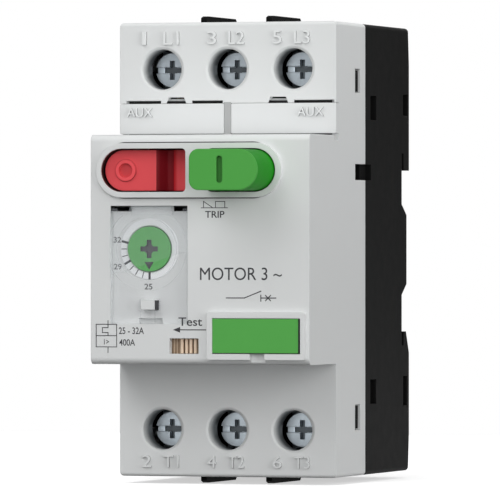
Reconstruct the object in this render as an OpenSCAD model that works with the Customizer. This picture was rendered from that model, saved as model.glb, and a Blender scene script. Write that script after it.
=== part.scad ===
// Three-pole motor protection breaker for a 35 mm rail.
// The origin is the middle of the rail seat: +Z is up, +Y points to the wall, the front faces -Y.

/* [Body] */
// Width of the body
body_w = 45; // [43:0.5:54]
// Height of the body, without the phase barriers
body_h = 90; // [88:1:110]
// Height of the raised front panel
panel_h = 45; // [44:0.5:46]
// Rise of the panel above the terminal faces
panel_rise = 17.5; // [15:0.5:22]
// Depth of the grey cover behind the terminal faces
cover_depth = 19.5; // [19:0.5:23.5]
// Depth of the black base
base_depth = 30.3; // [30:0.1:36.5]
// How far the base reaches behind the rail seat
rear_beyond_seat = 5.1; // [4.8:0.1:6]

/* [Walls] */
// Wall of the grey cover
cover_wall = 1.6; // [1.4:0.1:1.9]
// Wall of the black base
base_wall = 2; // [1.7:0.1:2.4]
// Thickness of the partitions between the poles
partition = 1.2; // [1:0.1:1.6]
// Corner radius of the outline seen from the front
corner_r = 0.8; // [0.4:0.1:1.5]
// Radius of the upper and lower front edges of the panel
panel_edge_r = 1.3; // [0.6:0.1:1.8]
// Radius of the upper and lower front edges of the terminal faces
end_edge_r = 0.7; // [0.4:0.1:1.2]

/* [Poles] */
// Distance from pole to pole
pitch = 13.6; // [13.3:0.1:14]
// Distance of the terminal screws from the end of the body
terminal_inset = 9.3; // [9:0.1:10]
// Radius of the screwdriver wells
well_r = 4; // [3.7:0.1:4.4]
// Wall of the screwdriver wells
well_wall = 1.1; // [0.8:0.1:1.4]

/* [Terminals] */
// Radius of the terminal screw head
head_r = 3.4; // [3:0.1:3.6]
// Thickness of the terminal screw head
head_t = 2.6; // [2:0.1:3]
// Depth of the screw head below the terminal face
head_depth = 6.1; // [5.5:0.1:7]
// Radius of the terminal screw thread
thread_r = 2; // [1.8:0.1:2.2]
// Outer width of a clamp cage
cage_w = 9; // [8:0.1:9.4]
// Outer height of a clamp cage
cage_h = 8; // [7:0.1:8.4]
// Wall of a clamp cage
cage_wall = 1.1; // [0.9:0.1:1.4]
// Opening of a clamp cage for the wire
wire_gap = 5; // [4.2:0.1:5.2]
// Width of the conductor bars
bar_w = 6; // [5:0.1:6.4]
// Thickness of the conductor bars
bar_t = 1.5; // [1:0.1:1.8]

/* [Phase barriers] */
// How far the barriers stand out of the body
barrier_out = 1.4; // [1:0.1:3]
// Front end of the barriers behind the terminal face
barrier_from = 4; // [3:0.5:6]
// Rear end of the barriers behind the terminal face
barrier_to = 27; // [25:0.5:30]

/* [Buttons] */
// Start button: left and right ends
start_x = [1.6, 15.5]; // [-20:0.1:20]
// Stop button: left and right ends
stop_x = [-19.9, -2.9]; // [-20:0.1:20]
// Button height
button_h = 8; // [7:0.1:9]
// Height of the button row above the middle
button_z = 15.5; // [15:0.1:16]
// How far the released start button stands out of the panel
start_out = 11.3; // [9:0.1:13]
// Distance of the sunk bar from the start button's left end
start_bar_in = 5.55; // [3:0.05:8]
// How far the stop button stands back from the bezel while it is in
stop_back = 2; // [0:0.1:3]
// Distance of the raised ring's middle from the stop button's left end
stop_ring_in = 4.3; // [3.5:0.05:6]
// Travel of the start button
start_travel = 10; // [8:0.5:11]
// Travel of the stop button
stop_travel = 8; // [6:0.5:9]
// Gap between a button and its slot
button_gap = 0.25; // [0.15:0.05:0.5]
// Height of the bezel around the buttons
bezel_rise = 0.8; // [0.4:0.1:1.5]

/* [Dial] */
// Middle of the dial, across and up
dial_at = [-10.8, 0.1]; // [-12:0.1:2]
// Radius of the dial
dial_r = 4.4; // [4:0.1:5]
// Radius of the dial's shaft
dial_shaft_r = 1.5; // [1.2:0.1:2]
// Running clearance of the dial and of pins, on the radius
run_gap = 0.05; // [0.02:0.01:0.1]
// Dial cover: left and right edges
lid_x = [-18.3, -2.6]; // [-19:0.1:-2]
// Dial cover: lower and upper edges
lid_z = [-14.5, 8.5]; // [-15:0.1:9]
// Thickness of the dial cover
lid_t = 1; // [0.8:0.1:1.2]
// Radius of the raised ring on the dial cover
lid_ring_r = 8.2; // [7.5:0.1:8.4]

/* [Test slider and marking plate] */
// Test window: left and right edges
test_x = [-6.2, -0.2]; // [-8:0.1:0]
// Test window: lower and upper edges
test_z = [-20.4, -17.4]; // [-20.5:0.1:-17]
// Travel of the test slider
test_travel = 2; // [1.5:0.1:2.2]
// Marking plate: left and right edges
plate_x = [2.9, 20.6]; // [2:0.1:21]
// Marking plate: lower and upper edges
plate_z = [-20.3, -13.5]; // [-21:0.1:-13]
// Width of the frame around the marking plate
plate_frame = 1.25; // [1:0.05:1.6]
// Height of that frame above the panel
plate_rise = 0.8; // [0.4:0.1:1.2]

/* [Accessory pockets] */
// Height of the accessory cover plates
pocket_h = 6; // [5.5:0.1:6.2]
// Thickness of the accessory cover plates
pocket_t = 1.7; // [1.5:0.1:2]
// Gap between the two plates
pocket_split = 1.5; // [1:0.1:2]
// Gap under the plates, above the panel
pocket_gap = 0.4; // [0.2:0.05:0.6]

/* [Contacts] */
// Travel of the contact carrier
contact_travel = 4; // [3:0.1:4.2]
// Gap left between closed contacts
contact_gap = 0.1; // [0.05:0.05:0.2]
// Rear face of the fixed contact plates, in front of the rail seat
contact_back = 10.5; // [10:0.1:11]
// Height of the line contacts above the middle
contact_high = 24; // [23:0.1:24.5]
// Height of the load contacts above the middle
contact_low = 5; // [4.5:0.1:6]

/* [Rail latch] */
// Height of the rail seat opening, up and down from the middle
rail_half = [16.65, 16.05]; // [15.5:0.05:17]
// Undercut behind the lips, up and down from the middle
rail_undercut = 19.5; // [18.5:0.1:20]
// Thickness of the gap for the rail flange
rail_gap = 1.4; // [1.2:0.1:1.6]
// Width of the rail latch
latch_w = 15.8; // [12:0.2:18]
// Travel of the rail latch
latch_travel = 3; // [2:0.5:3.5]

/* [Hidden] */
$fn = 64;
fit = 0.1;
past = 1;

// Planes across the depth
back_y = rear_beyond_seat;
split_y = back_y - base_depth;
face_y = split_y - cover_depth;
panel_y = face_y - panel_rise;

// Sides and ends
side_x = body_w / 2;
end_z = body_h / 2;
panel_z = panel_h / 2;
cover_in_x = side_x - cover_wall;
base_in_x = side_x - base_wall;
base_floor = -base_wall;
rear_floor = back_y - base_wall;
term_z = end_z - terminal_inset;
wall_x = pitch / 2;
POLES = [-pitch, 0, pitch];

// Terminal parts
head_y = face_y + head_depth;
shank_y = head_y + head_t;
cage_travel = wire_gap - fit;
cage_front = shank_y + fit + cage_travel;
cage_nut = 2;
bar_y = cage_front + cage_nut + 2.1;
cage_inner = bar_y + bar_t + wire_gap;
cage_back = cage_inner + 1.4;
well_end = head_y - 0.5;
leg_gap = 0.2;
leg_z = term_z - cage_h / 2 - bar_t - leg_gap;

// Contact parts
plate_y = -contact_back - bar_t;
tip_t = 1;
tip_y = plate_y - tip_t;
bridge_t = 1.3;
bridge_tip_y = tip_y - contact_gap - contact_travel;
bridge_y = bridge_tip_y - tip_t - bridge_t;
bridge_over = 2;
bar_front = bridge_y - 10.5;
carrier_bar = 2.6;
carrier_rear = bar_front + carrier_bar + contact_travel + 0.7;
carrier_z = (contact_high + contact_low) / 2;

// Buttons, rocker and trip parts
sleeve_y = panel_y + 9;
lever_x = -3.5;
lever_reach = 10.5;
lever_arm = [lever_reach * stop_travel / start_travel, lever_reach];
lever_t = 2;
pin_r = 1;
lever_end_r = 1.2;
lever_y = panel_y + 20.7;
lever_tilt = atan(start_travel / 2 / lever_arm[1]);
stem_w = 1.6;
stem_gap = 0.3;
start_stem_y = lever_y - start_travel / 2 - lever_end_r - stem_gap;
stop_stem_y = lever_y + start_travel / 2 * lever_arm[0] / lever_arm[1] - lever_end_r - 2 * stem_gap;
stud_x = lever_x + lever_reach * contact_travel / start_travel;
stud_r = 0.8;
frame_y = [split_y - 8.2, split_y - 6.6];
trip_y = split_y - 0.3;
trip_z = -9.5;
trip_front = frame_y[0] - 3.2;
latch_pin = [-16, -3];

// Small coil
coil_z = -7;
coil_y = [plate_y + 0.6, base_floor - 1.4];
core_r = 1.5;
bobbin_r = 2.1;
wire_r = 0.75;
turns = 4;

// Front details
bezel_x = [-21.2, 17];
bezel_w = 1.1;
recess_y = panel_y + 1.6;
dial_y = panel_y + 1.15;
lid_y = panel_y - 0.1;
knuckle_r = 0.9;
hinge_y = lid_y + knuckle_r;
hinge_z = lid_z[1] - knuckle_r;
hinge_r = 0.45;
hinge_slots = [[-18.2, -14.6], [-5.8, -2.7]];
seal_at = [-10.4, -10.9];
pocket_z = panel_z + pocket_gap;
cover_snaps = [[31.1, 35.9], [-35.9, -30.8]];
snap_y = [face_y + 12.6, face_y + 16.2];
snap_x = [base_in_x - 1.0, base_in_x + 0.2];

// Rail latch
latch_y = [3.05, back_y];
latch_rail_y = 4;
latch_side = 1;
latch_end = -end_z + latch_travel;
spring_z = [-33.2, -24];

// A block between two corners
module block(x, y, z) {
  translate([x[0], y[0], z[0]]) cube([x[1] - x[0], y[1] - y[0], z[1] - z[0]]);
}

// A flat shape drawn across and up, run along the depth
module along_y(y) {
  translate([0, y[1], 0]) rotate([90, 0, 0]) linear_extrude(y[1] - y[0]) children();
}

// A flat shape drawn in depth and up, run across
module along_x(x) {
  translate([x[0], 0, 0]) rotate([90, 0, 90]) linear_extrude(x[1] - x[0]) children();
}

// A round bar along the depth
module rod(x, z, r, y) {
  translate([x, y[1], z]) rotate([90, 0, 0]) cylinder(r = r, h = y[1] - y[0]);
}

// A rectangle with rounded corners, from edge to edge
module round_rect(x, z, r) {
  translate([x[0] + r, z[0]]) square([x[1] - x[0] - 2 * r, z[1] - z[0]]);
  translate([x[0], z[0] + r]) square([x[1] - x[0], z[1] - z[0] - 2 * r]);
  for (a = [x[0] + r, x[1] - r], b = [z[0] + r, z[1] - r]) translate([a, b]) circle(r);
}

// A button outline: round at the outer end (side 1 right, -1 left), small corners at the other
module button_shape(x, side, grow, corner) {
  h = button_h + 2 * grow;
  r = h / 2;
  a = [x[0] - grow, x[1] + grow];
  mid = side > 0 ? a[1] - r : a[0] + r;
  translate([mid, button_z]) circle(r);
  inner = side > 0 ? a[0] : a[1];
  from = min(inner + side * corner, mid);
  to = max(inner + side * corner, mid);
  translate([from, button_z - r]) square([to - from, h]);
  low = min(inner, mid);
  translate([low, button_z - r + corner]) square([abs(mid - inner), h - 2 * corner]);
  for (s = [-1, 1]) translate([inner + side * corner, button_z + s * (r - corner)]) circle(corner);
}

// The bezel outline, round at both ends
module bezel_shape(grow) {
  r = button_h / 2 + button_gap + grow;
  for (x = [bezel_x[0] + bezel_w, bezel_x[1] - bezel_w]) {
    inset = x < 0 ? r - grow : grow - r;
    translate([x + inset, button_z]) circle(r);
  }
  half = button_h / 2 + button_gap;
  translate([bezel_x[0] + bezel_w + half, button_z - r])
    square([bezel_x[1] - bezel_x[0] - 2 * bezel_w - 2 * half, 2 * r]);
}

// Side profile of the grey cover, drawn inside its outline by a wall
module cover_profile(wall, rear) {
  polygon([[rear, -end_z + wall], [face_y + wall, -end_z + wall], [face_y + wall, -panel_z + wall],
    [panel_y + wall, -panel_z + wall], [panel_y + wall, panel_z - wall],
    [face_y + wall, panel_z - wall], [face_y + wall, end_z - wall], [rear, end_z - wall]]);
}

// Outer side profile of the grey cover, with its front edges rounded
module cover_outline() {
  difference() {
    cover_profile(0, split_y);
    for (s = [0, 1]) mirror([0, s]) {
      edge_cut(panel_y, panel_z, panel_edge_r);
      edge_cut(face_y, end_z, end_edge_r);
    }
  }
}

// What is cut away to round the corner of a side profile at depth y and height z
module edge_cut(y, z, r) {
  difference() {
    translate([y - past, z - r]) square([r + past, r + past]);
    translate([y + r, z - r]) circle(r);
  }
}

// Side profile of the black base with the rail seat
module base_profile() {
  polygon([[split_y, -end_z], [back_y - 0.7, -end_z], [back_y, -end_z + 7.5], [back_y, -21],
    [back_y - 2.1, -rail_half[0]], [rail_gap, -rail_half[0]], [rail_gap, -rail_undercut],
    [0, -rail_undercut], [0, -9.2], [3.4, -7], [3.4, 7], [0, 9.2], [0, rail_undercut],
    [rail_gap, rail_undercut], [rail_gap, rail_half[1]], [back_y, rail_half[1]],
    [back_y, end_z - 7.5], [back_y - 0.7, end_z], [split_y, end_z]]);
}

// Room inside the base, behind the terminals and behind the rail seat
module base_room(rear, mid) {
  polygon([[split_y - past, -end_z + base_wall], [rear, -end_z + base_wall],
    [rear, -rail_undercut - base_wall], [mid, -rail_undercut - base_wall],
    [mid, rail_undercut + base_wall], [rear, rail_undercut + base_wall],
    [rear, end_z - base_wall], [split_y - past, end_z - base_wall]]);
}

// Wire entries, cut through the top and bottom walls behind the conductor bars
module wire_entries() {
  for (x = POLES, s = [-1, 1]) {
    z = [end_z - base_wall - past, end_z + past];
    block([x - 3.7, x + 3.7], [bar_y + bar_t, cage_inner], s > 0 ? z : [-z[1], -z[0]]);
  }
}

// Accessory pocket: shallow room for the plate and a deep one behind it. Side -1 is left
module accessory_pocket(side) {
  inner = pocket_split / 2 - 0.05;
  z = [pocket_z, pocket_z + pocket_h];
  plate = side > 0 ? [inner, side_x + past] : [-side_x - past, -inner];
  deep = side > 0 ? [3, 19.8] : [-19.8, -3];
  block(plate, [face_y - past, face_y + pocket_t + 0.05], [z[0] - pocket_gap - past, z[1] + 0.05]);
  block(deep, [face_y - past, face_y + 6.2], [z[0] + 0.7, z[1] - 0.7]);
  for (x = side > 0 ? [[13.8, 22.1]] : [[-21.2, -13.9], [-7.4, -1]])
    block(x, [face_y - past, face_y + pocket_t], [z[1], z[1] + 0.6]);
  middle = side > 0 ? 10.5 : -10.7;
  along_y([face_y - past, face_y + pocket_t])
    polygon([[middle - 2.1, z[1]], [middle + 2.1, z[1]], [middle + 1.6, z[1] + 1.25],
      [middle - 1.6, z[1] + 1.25]]);
}

// Walls that line an accessory pocket inside the cover
module pocket_lining() {
  block([-cover_in_x - 0.1, cover_in_x + 0.1], [face_y + 0.2, face_y + pocket_t + 1.3],
    [pocket_z - pocket_gap - 1.4, pocket_z + pocket_h + 1]);
  for (s = [-1, 1]) {
    x = s > 0 ? [2, 20.8] : [-20.8, -2];
    block(x, [face_y + 1, face_y + 7.2], [pocket_z - 0.3, pocket_z + pocket_h + 0.3]);
  }
}

// Grey front cover
module front_cover() {
  color([0.86, 0.87, 0.86]) union() {
    cover_shell();
    difference() {
      block([seal_at[0] - 1.6, seal_at[0] + 1.2], [panel_y - 0.5, recess_y + 0.2],
        [seal_at[1] - 0.9, seal_at[1] + 0.9]);
      translate([seal_at[0] - 3, panel_y + 0.6, seal_at[1]]) rotate([0, 90, 0]) cylinder(r = 0.5, h = 6);
    }
  }
}

// Grey shell with its wells, sleeves, pockets and openings
module cover_shell() {
  difference() {
    union() {
      difference() {
        intersection() {
          along_x([-side_x, side_x]) cover_outline();
          along_y([panel_y - past, split_y])
            round_rect([-side_x, side_x], [-end_z, end_z], corner_r);
        }
        along_x([-cover_in_x, cover_in_x]) cover_profile(cover_wall, split_y + past);
      }
      for (x = POLES, z = [-term_z, term_z])
        rod(x, z, well_r + well_wall, [face_y + 0.2, well_end]);
      along_y([panel_y - bezel_rise, panel_y + 0.2]) bezel_shape(bezel_w);
      along_y([panel_y + 0.2, sleeve_y]) button_shape(start_x, 1, button_gap + 1.1, 2.5);
      along_y([panel_y + 0.2, sleeve_y]) button_shape(stop_x, -1, button_gap + 1.1, 2.5);
      block([lid_x[0] - 2.1, lid_x[1] + 1.7], [panel_y + 0.2, recess_y + 1.5],
        [lid_z[0] - 1.5, lid_z[1] + 1.3]);
      rod(dial_at[0], dial_at[1], dial_shaft_r + 2, [recess_y, recess_y + 8]);
      along_y([panel_y - plate_rise, panel_y + 0.2])
        round_rect([plate_x[0] - plate_frame, plate_x[1] + plate_frame],
          [plate_z[0] - plate_frame, plate_z[1] + plate_frame], 0.5);
      block([plate_x[0] + 0.4, plate_x[1] - 1], [panel_y + 0.5, panel_y + 3],
        [plate_z[0] + 1, plate_z[1] + 1]);
      pocket_lining();
    }
    for (x = POLES, z = [-term_z, term_z]) rod(x, z, well_r, [face_y - past, well_end + past]);
    for (s = [-1, 1]) accessory_pocket(s);
    along_y([panel_y - bezel_rise - past, sleeve_y + past])
      button_shape(start_x, 1, button_gap, 1.5);
    along_y([panel_y - bezel_rise - past, sleeve_y + past])
      button_shape(stop_x, -1, button_gap, 0.8);
    lid_recess();
    block(test_x, [panel_y - past, panel_y + cover_wall + past], test_z);
    block([plate_x[0] - 0.05, plate_x[1] + 0.25], [panel_y - plate_rise - past, panel_y + 0.4],
      [plate_z[0] - 0.08, plate_z[1] + 0.08]);
    for (x = plate_pins()) rod(x, plate_middle(), 1 + run_gap, [panel_y, panel_y + 3 + past]);
    block([10.5, 13.5], [panel_y - plate_rise - past, panel_y + 0.3],
      [-panel_z - past, plate_z[0]]);
    for (s = [-1, 1], z = cover_snaps)
      block(s > 0 ? [cover_in_x - past, side_x + past] : [-side_x - past, -cover_in_x + past],
        snap_y, z);
    side_window();
    for (x = [-wall_x, wall_x], s = [-1, 1]) {
      z = [end_z - cover_wall - past, end_z + past];
      block([x - partition / 2 - fit, x + partition / 2 + fit],
        [face_y + barrier_from - 0.2, split_y + past], s > 0 ? z : [-z[1], -z[0]]);
    }
    wire_entries();
  }
}

// Cut for the dial cover, its hinge and the dial
module lid_recess() {
  block([lid_x[0] - 0.1, lid_x[1] + 0.1], [panel_y - past, recess_y],
    [lid_z[0] - 0.1, lid_z[1] + run_gap]);
  for (x = hinge_slots) block(x, [panel_y, recess_y + 2], [hinge_z - 0.1, hinge_z + 0.75]);
  translate([hinge_slots[0][1] - 0.1, hinge_y, hinge_z]) rotate([0, 90, 0])
    cylinder(r = knuckle_r + run_gap, h = hinge_slots[1][0] - hinge_slots[0][1] + 0.2);
  for (x = [[lid_x[0] - 1.2, lid_x[0] + 0.1], [lid_x[1] - 0.1, lid_x[1] + 1.2]])
    translate([x[0], hinge_y, hinge_z]) rotate([0, 90, 0])
      cylinder(r = hinge_r + run_gap, h = x[1] - x[0]);
  rod(dial_at[0], dial_at[1], dial_r + 0.15, [recess_y - past, recess_y + 0.9]);
  rod(dial_at[0], dial_at[1], dial_shaft_r + run_gap, [recess_y, recess_y + 8 + past]);
  block([-13, -8.2], [panel_y, recess_y + 1], [lid_z[0] - 0.1, lid_z[0] + 1]);
}

// Opening in the side for a side-mounted accessory
module side_window() {
  for (s = [-1, 1])
    block(s > 0 ? [cover_in_x - past, side_x + past] : [-side_x - past, -cover_in_x + past],
      [face_y + 12.7, split_y + past], [13.8, 17]);
}

// Black base housing
module base_housing() {
  color([0.1, 0.1, 0.1]) difference() {
    union() {
      difference() {
        intersection() {
          along_x([-side_x, side_x]) base_profile();
          along_y([split_y - past, back_y + past])
            round_rect([-side_x, side_x], [-end_z, end_z], corner_r);
        }
        difference() {
          along_x([-base_in_x, base_in_x]) base_room(rear_floor, base_floor);
          latch_floor();
        }
      }
      for (x = [-wall_x, wall_x]) pole_wall(x);
      for (x = POLES) pole_supports(x);
      for (s = [-1, 1]) side_bosses(s);
      for (s = [-1, 1], z = cover_snaps) snap_arm(s, z);
    }
    for (s = [-1, 1]) side_pockets(s);
    wire_entries();
    latch_channel();
  }
}

// Partition between two poles, with its phase barriers at both ends
module pole_wall(x) {
  from = face_y + barrier_from;
  to = face_y + barrier_to;
  top = end_z + barrier_out;
  room = rail_undercut + base_wall - 0.2;
  along_x([x - partition / 2, x + partition / 2]) difference() {
    union() {
      translate([split_y, -end_z + 1]) square([rear_floor - split_y + 0.2, body_h - 2]);
      for (s = [0, 1]) mirror([0, s])
        polygon([[from, leg_z], [to, leg_z], [to, end_z - 1], [to - 2.8, top], [from + 2.8, top],
          [from + 1.6, top - 0.4], [from + 1.6, end_z - cover_wall], [from, end_z - cover_wall]]);
    }
    translate([base_floor + 0.2, -room]) square([rear_floor - base_floor + past, 2 * room]);
    translate([split_y - past, -21]) square([carrier_rear - split_y + past, 42]);
  }
}

// Ledges that carry the conductors and the contacts of one pole
module pole_supports(x) {
  half = pitch / 2 - 0.2;
  block([x - half, x + half], [plate_y - 11.5, plate_y], [leg_z - bar_t, leg_z]);
  block([x - half, x + half], [plate_y - 6.4, plate_y], [-leg_z - bar_t - 1.5, -leg_z - bar_t]);
  block([x - 2, x + 2], [-contact_back, base_floor + 0.2], [18, 21]);
  block([x - 2, x + 2], [-contact_back, base_floor + 0.2], [0.2, 3]);
  block([x - 3, x + 3], [coil_y[1] + 1.2, base_floor + 0.2], [coil_z - 3, coil_z + 3]);
}

// Arm that snaps into a window of the grey cover
module snap_arm(s, z) {
  arm = [z[0] + 0.3, z[1] - 0.3];
  root = [split_y - 0.5, split_y + 3];
  x = s > 0 ? snap_x : [-snap_x[1], -snap_x[0]];
  nub = s > 0 ? [snap_x[1] - 0.2, side_x - 0.5] : [-side_x + 0.5, -snap_x[1] + 0.2];
  wall = s > 0 ? [snap_x[0], base_in_x + 0.2] : [-base_in_x - 0.2, -snap_x[0]];
  block(x, [snap_y[0] - 0.6, split_y + 3], arm);
  block(nub, [snap_y[0] + 0.15, snap_y[1] - 0.15], arm);
  block(wall, root, arm);
}

// Pads of extra wall behind the side pockets
module side_bosses(s) {
  x = s > 0 ? [base_in_x - 0.8, base_in_x + 0.2] : [-base_in_x - 0.2, -base_in_x + 0.8];
  block(x, [split_y, split_y + 4], [12.6, 18.2]);
}

// Pockets in the sides for accessories
module side_pockets(s) {
  deep = base_wall - 0.8;
  x = s > 0 ? [side_x - deep, side_x + past] : [-side_x - past, -side_x + deep];
  block(x, [split_y + 3.35, split_y + 7.5], [25.9, 30.8]);
  block(x, [split_y + 3.3, split_y + 7.4], [-30.9, -26]);
  block(x, [back_y - 4.2, back_y - 0.9], [27.2, 31.5]);
  block(x, [back_y - 4.1, back_y - 1.3], [-31.7, -25.7]);
  block(x, [split_y - past, split_y + 3.9], [13.8, 17]);
}

// Block that fills the lower rear of the base around the rail latch
module latch_floor() {
  half = latch_w / 2 + latch_side + 1.6;
  block([-half, half], [latch_y[0] - 1.8, rear_floor + past], [-end_z, -rail_undercut - base_wall]);
}

// Channel for the rail latch, open at the bottom
module latch_channel() {
  half = latch_w / 2 + fit;
  z = [-end_z - past, -rail_half[0] + past];
  block([-half, half], [latch_y[0] - fit / 2, back_y + past], z);
  block([-half - latch_side, half + latch_side], [latch_y[0] - fit / 2, latch_rail_y + fit],
    [-end_z - past, -rail_undercut - 1.6]);
}

// Plate across the middle that carries the rocker pin and the trip latch
module mechanism_frame() {
  color([0.16, 0.16, 0.17]) difference() {
    union() {
      block([-20.2, 20.2], frame_y, [-20.2, 20.4]);
      for (z = [[button_z - 3.6, button_z - 2], [button_z + 2, button_z + 3.6]])
        block([lever_x - 2.2, lever_x + 2.2], [lever_y - 2, frame_y[0] + 0.2], z);
      for (x = [-19.4, 17.8], z = [-18, 18])
        block([x, x + 1.6], [frame_y[1] - 0.2, split_y], [z, z + 1.6]);
      rod(latch_pin[0], latch_pin[1], 0.9, [frame_y[0] - 3.3, frame_y[0] + 0.2]);
    }
    block([stud_x - 2, stud_x + 2], [frame_y[0] - past, frame_y[1] + past], [button_z - 4.6, button_z + 3]);
    block([-19, -13.6], [frame_y[0] - past, frame_y[1] + past], [trip_z - 3.4, trip_z + 1]);
    block([-12.4, -6.6], [frame_y[0] - past, frame_y[1] + past], [-19.6, -10]);
    rod(dial_at[0], dial_at[1], dial_shaft_r + run_gap, [frame_y[0] - past, frame_y[1] + past]);
    translate([lever_x, lever_y, button_z - 4]) cylinder(r = pin_r, h = 8);
  }
}

// Plate over one accessory pocket, with two snap legs
module accessory_cover(side) {
  inner = pocket_split / 2;
  x = side > 0 ? [inner, side_x] : [-side_x, -inner];
  legs = side > 0 ? [3.4, 18.2] : [-19.4, -4.6];
  z = [pocket_z, pocket_z + pocket_h];
  color([0.85, 0.86, 0.85]) union() {
    along_y([face_y, face_y + pocket_t]) round_rect(x, z, 0.25);
    for (a = legs) block([a, a + 1.2], [face_y + pocket_t - 0.2, face_y + 5.6], [z[0] + 1, z[1] - 1]);
  }
}

// Green start button with a recessed bar
module start_button() {
  bar_x = start_x[0] + start_bar_in;
  stem = lever_x + lever_arm[1] + 0.2;
  color([0.3, 0.66, 0.32]) difference() {
    union() {
      along_y([panel_y - start_out, sleeve_y - 0.3]) button_shape(start_x, 1, 0, 1.9);
      button_stem(stem, [sleeve_y - 0.5, start_stem_y]);
    }
    along_y([panel_y - start_out - past, panel_y - start_out + 0.7])
      round_rect([bar_x, bar_x + 1.2], [button_z - 2.6, button_z + 2.6], 0.55);
  }
}

// Stem that reaches from a button to the rocker lever
module button_stem(x, y) {
  block([x - stem_w / 2, x + stem_w / 2], y, [button_z - 1.3, button_z + 1.3]);
}

// Red stop button with a raised ring and a dished end
module stop_button() {
  top = panel_y - bezel_rise + stop_back;
  ring_x = stop_x[0] + stop_ring_in;
  end = stop_x[1];
  color([0.78, 0.25, 0.27]) difference() {
    union() {
      along_y([top, sleeve_y + 5.2]) button_shape(stop_x, -1, 0, 0.5);
      rod(ring_x, button_z, 2.1, [top - 0.35, top + 0.2]);
      button_stem(lever_x - lever_arm[0] - 0.1, [sleeve_y + 5, stop_stem_y]);
    }
    rod(ring_x, button_z, 1.4, [top - past, top + 0.3]);
    translate([0, 0, button_z - button_h]) linear_extrude(2 * button_h)
      polygon([[end - 6.4, top - past], [end + past, top - past], [end + past, top + 0.8],
        [end, top + 0.8], [end - 0.9, top + 1.3], [end - 1.9, top + 1.8], [end - 2.9, top + 2.2],
        [end - 3.7, top + 2.4], [end - 4.3, top + 2.4], [end - 4.8, top + 2.2], [end - 6.4, top]]);
  }
}

// Lever that moves the two buttons opposite ways and drives the contact carrier
module rocker_lever() {
  width = 3.6;
  ends = [-lever_arm[0], lever_arm[1]] / cos(lever_tilt);
  color([0.72, 0.7, 0.62]) translate([lever_x, lever_y, button_z - width / 2])
    rotate([0, 0, -lever_tilt]) difference() {
      linear_extrude(width) union() {
        translate([ends[0] + 0.3, -lever_t / 2]) square([ends[1] - ends[0] - 0.6, lever_t]);
        for (x = ends) translate([x, 0]) circle(lever_end_r);
        circle(2.4);
      }
      translate([0, 0, -past]) cylinder(r = pin_r + run_gap, h = width + 2 * past);
    }
}

// Steel pin of the rocker lever
module rocker_pin() {
  color([0.75, 0.76, 0.78]) translate([lever_x, lever_y, button_z - 3.6])
    cylinder(r = pin_r, h = 7.2);
}

// Green setting dial with its shaft, cross recess and eccentric end
module setting_dial() {
  color([0.42, 0.68, 0.43]) difference() {
    union() {
      rod(dial_at[0], dial_at[1], dial_r, [dial_y, recess_y + 0.8]);
      rod(dial_at[0], dial_at[1], dial_shaft_r, [recess_y, frame_y[1] + 1.4]);
      rod(dial_at[0] + 0.7, dial_at[1], 2.6, [frame_y[1] + 0.4, frame_y[1] + 2.6]);
    }
    cross_cut(dial_at[0], dial_at[1], 1.8, 1, [dial_y - past, dial_y + 0.9]);
    along_y([dial_y - past, dial_y + 0.25])
      polygon([[dial_at[0] - 0.95, dial_at[1] - 2.55], [dial_at[0] + 0.95, dial_at[1] - 2.55],
        [dial_at[0], dial_at[1] - 4.1]]);
  }
}

// A cross recess with chamfered inner corners
module cross_cut(x, z, reach, arm, y) {
  along_y(y) translate([x, z]) {
    square([2 * reach, arm], center = true);
    square([arm, 2 * reach], center = true);
    rotate(45) square([1.7 * arm, 1.7 * arm], center = true);
  }
}

// Clear dial cover with a raised ring, hinge pins and a window for the sealing lug
module dial_cover() {
  knuckle_x = [hinge_slots[0][1] + 0.1, hinge_slots[1][0] - 0.1];
  color([0.85, 0.9, 0.95, 0.45]) difference() {
    union() {
      block(lid_x, [lid_y, lid_y + lid_t], [lid_z[0], hinge_z - 0.1]);
      block(knuckle_x, [lid_y, lid_y + lid_t], [hinge_z - 0.2, hinge_z]);
      translate([knuckle_x[0], hinge_y, hinge_z]) rotate([0, 90, 0])
        cylinder(r = knuckle_r, h = knuckle_x[1] - knuckle_x[0]);
      intersection() {
        rod(dial_at[0], dial_at[1], lid_ring_r, [lid_y - 0.5, lid_y + 0.2]);
        block([lid_x[0] + 0.05, lid_x[1] - 0.05], [lid_y - 1, lid_y + 1],
          [lid_z[0], hinge_z - knuckle_r]);
      }
      for (x = [[lid_x[0] - 1, lid_x[0] + 1], [lid_x[1] - 1, lid_x[1] + 1]])
        translate([x[0], hinge_y, hinge_z]) rotate([0, 90, 0])
          cylinder(r = hinge_r, h = x[1] - x[0]);
      block([-12.1, -9.1], [lid_y - 0.4, lid_y + 0.2], [lid_z[0] + 0.02, lid_z[0] + 2.6]);
    }
    rod(dial_at[0], dial_at[1], lid_ring_r - 2, [lid_y - past, lid_y + 0.1]);
    block([seal_at[0] - 2, seal_at[0] + 2], [lid_y - past, lid_y + lid_t + past],
      [seal_at[1] - 1.2, seal_at[1] + 1.2]);
  }
}

// Ribbed slider behind the test window
module test_slider() {
  y = panel_y + cover_wall + 0.05;
  ribs = 6;
  step = (test_x[1] - test_x[0] - 0.6) / ribs;
  color([0.87, 0.77, 0.68]) union() {
    block([test_x[0] - 0.6, test_x[1] + test_travel + 0.3], [y, y + 1.6],
      [test_z[0] - 0.4, test_z[1] + 0.8]);
    for (i = [0 : ribs - 1]) if (i * step > test_travel - 0.4)
      block([test_x[0] + 0.3 + i * step, test_x[0] + 0.3 + (i + 0.55) * step], [y - 0.9, y + 0.1],
        [test_z[0] + 0.1, test_z[1] - 0.1]);
    block([-7.2, -5.7], [y + 1.4, trip_front + 1.2], [-19.4, -17.2]);
  }
}

// Middle height and pin places of the marking plate
function plate_middle() = (plate_z[0] + plate_z[1]) / 2;
function plate_pins() = [plate_x[0] + 3, plate_x[1] - 3];

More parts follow.
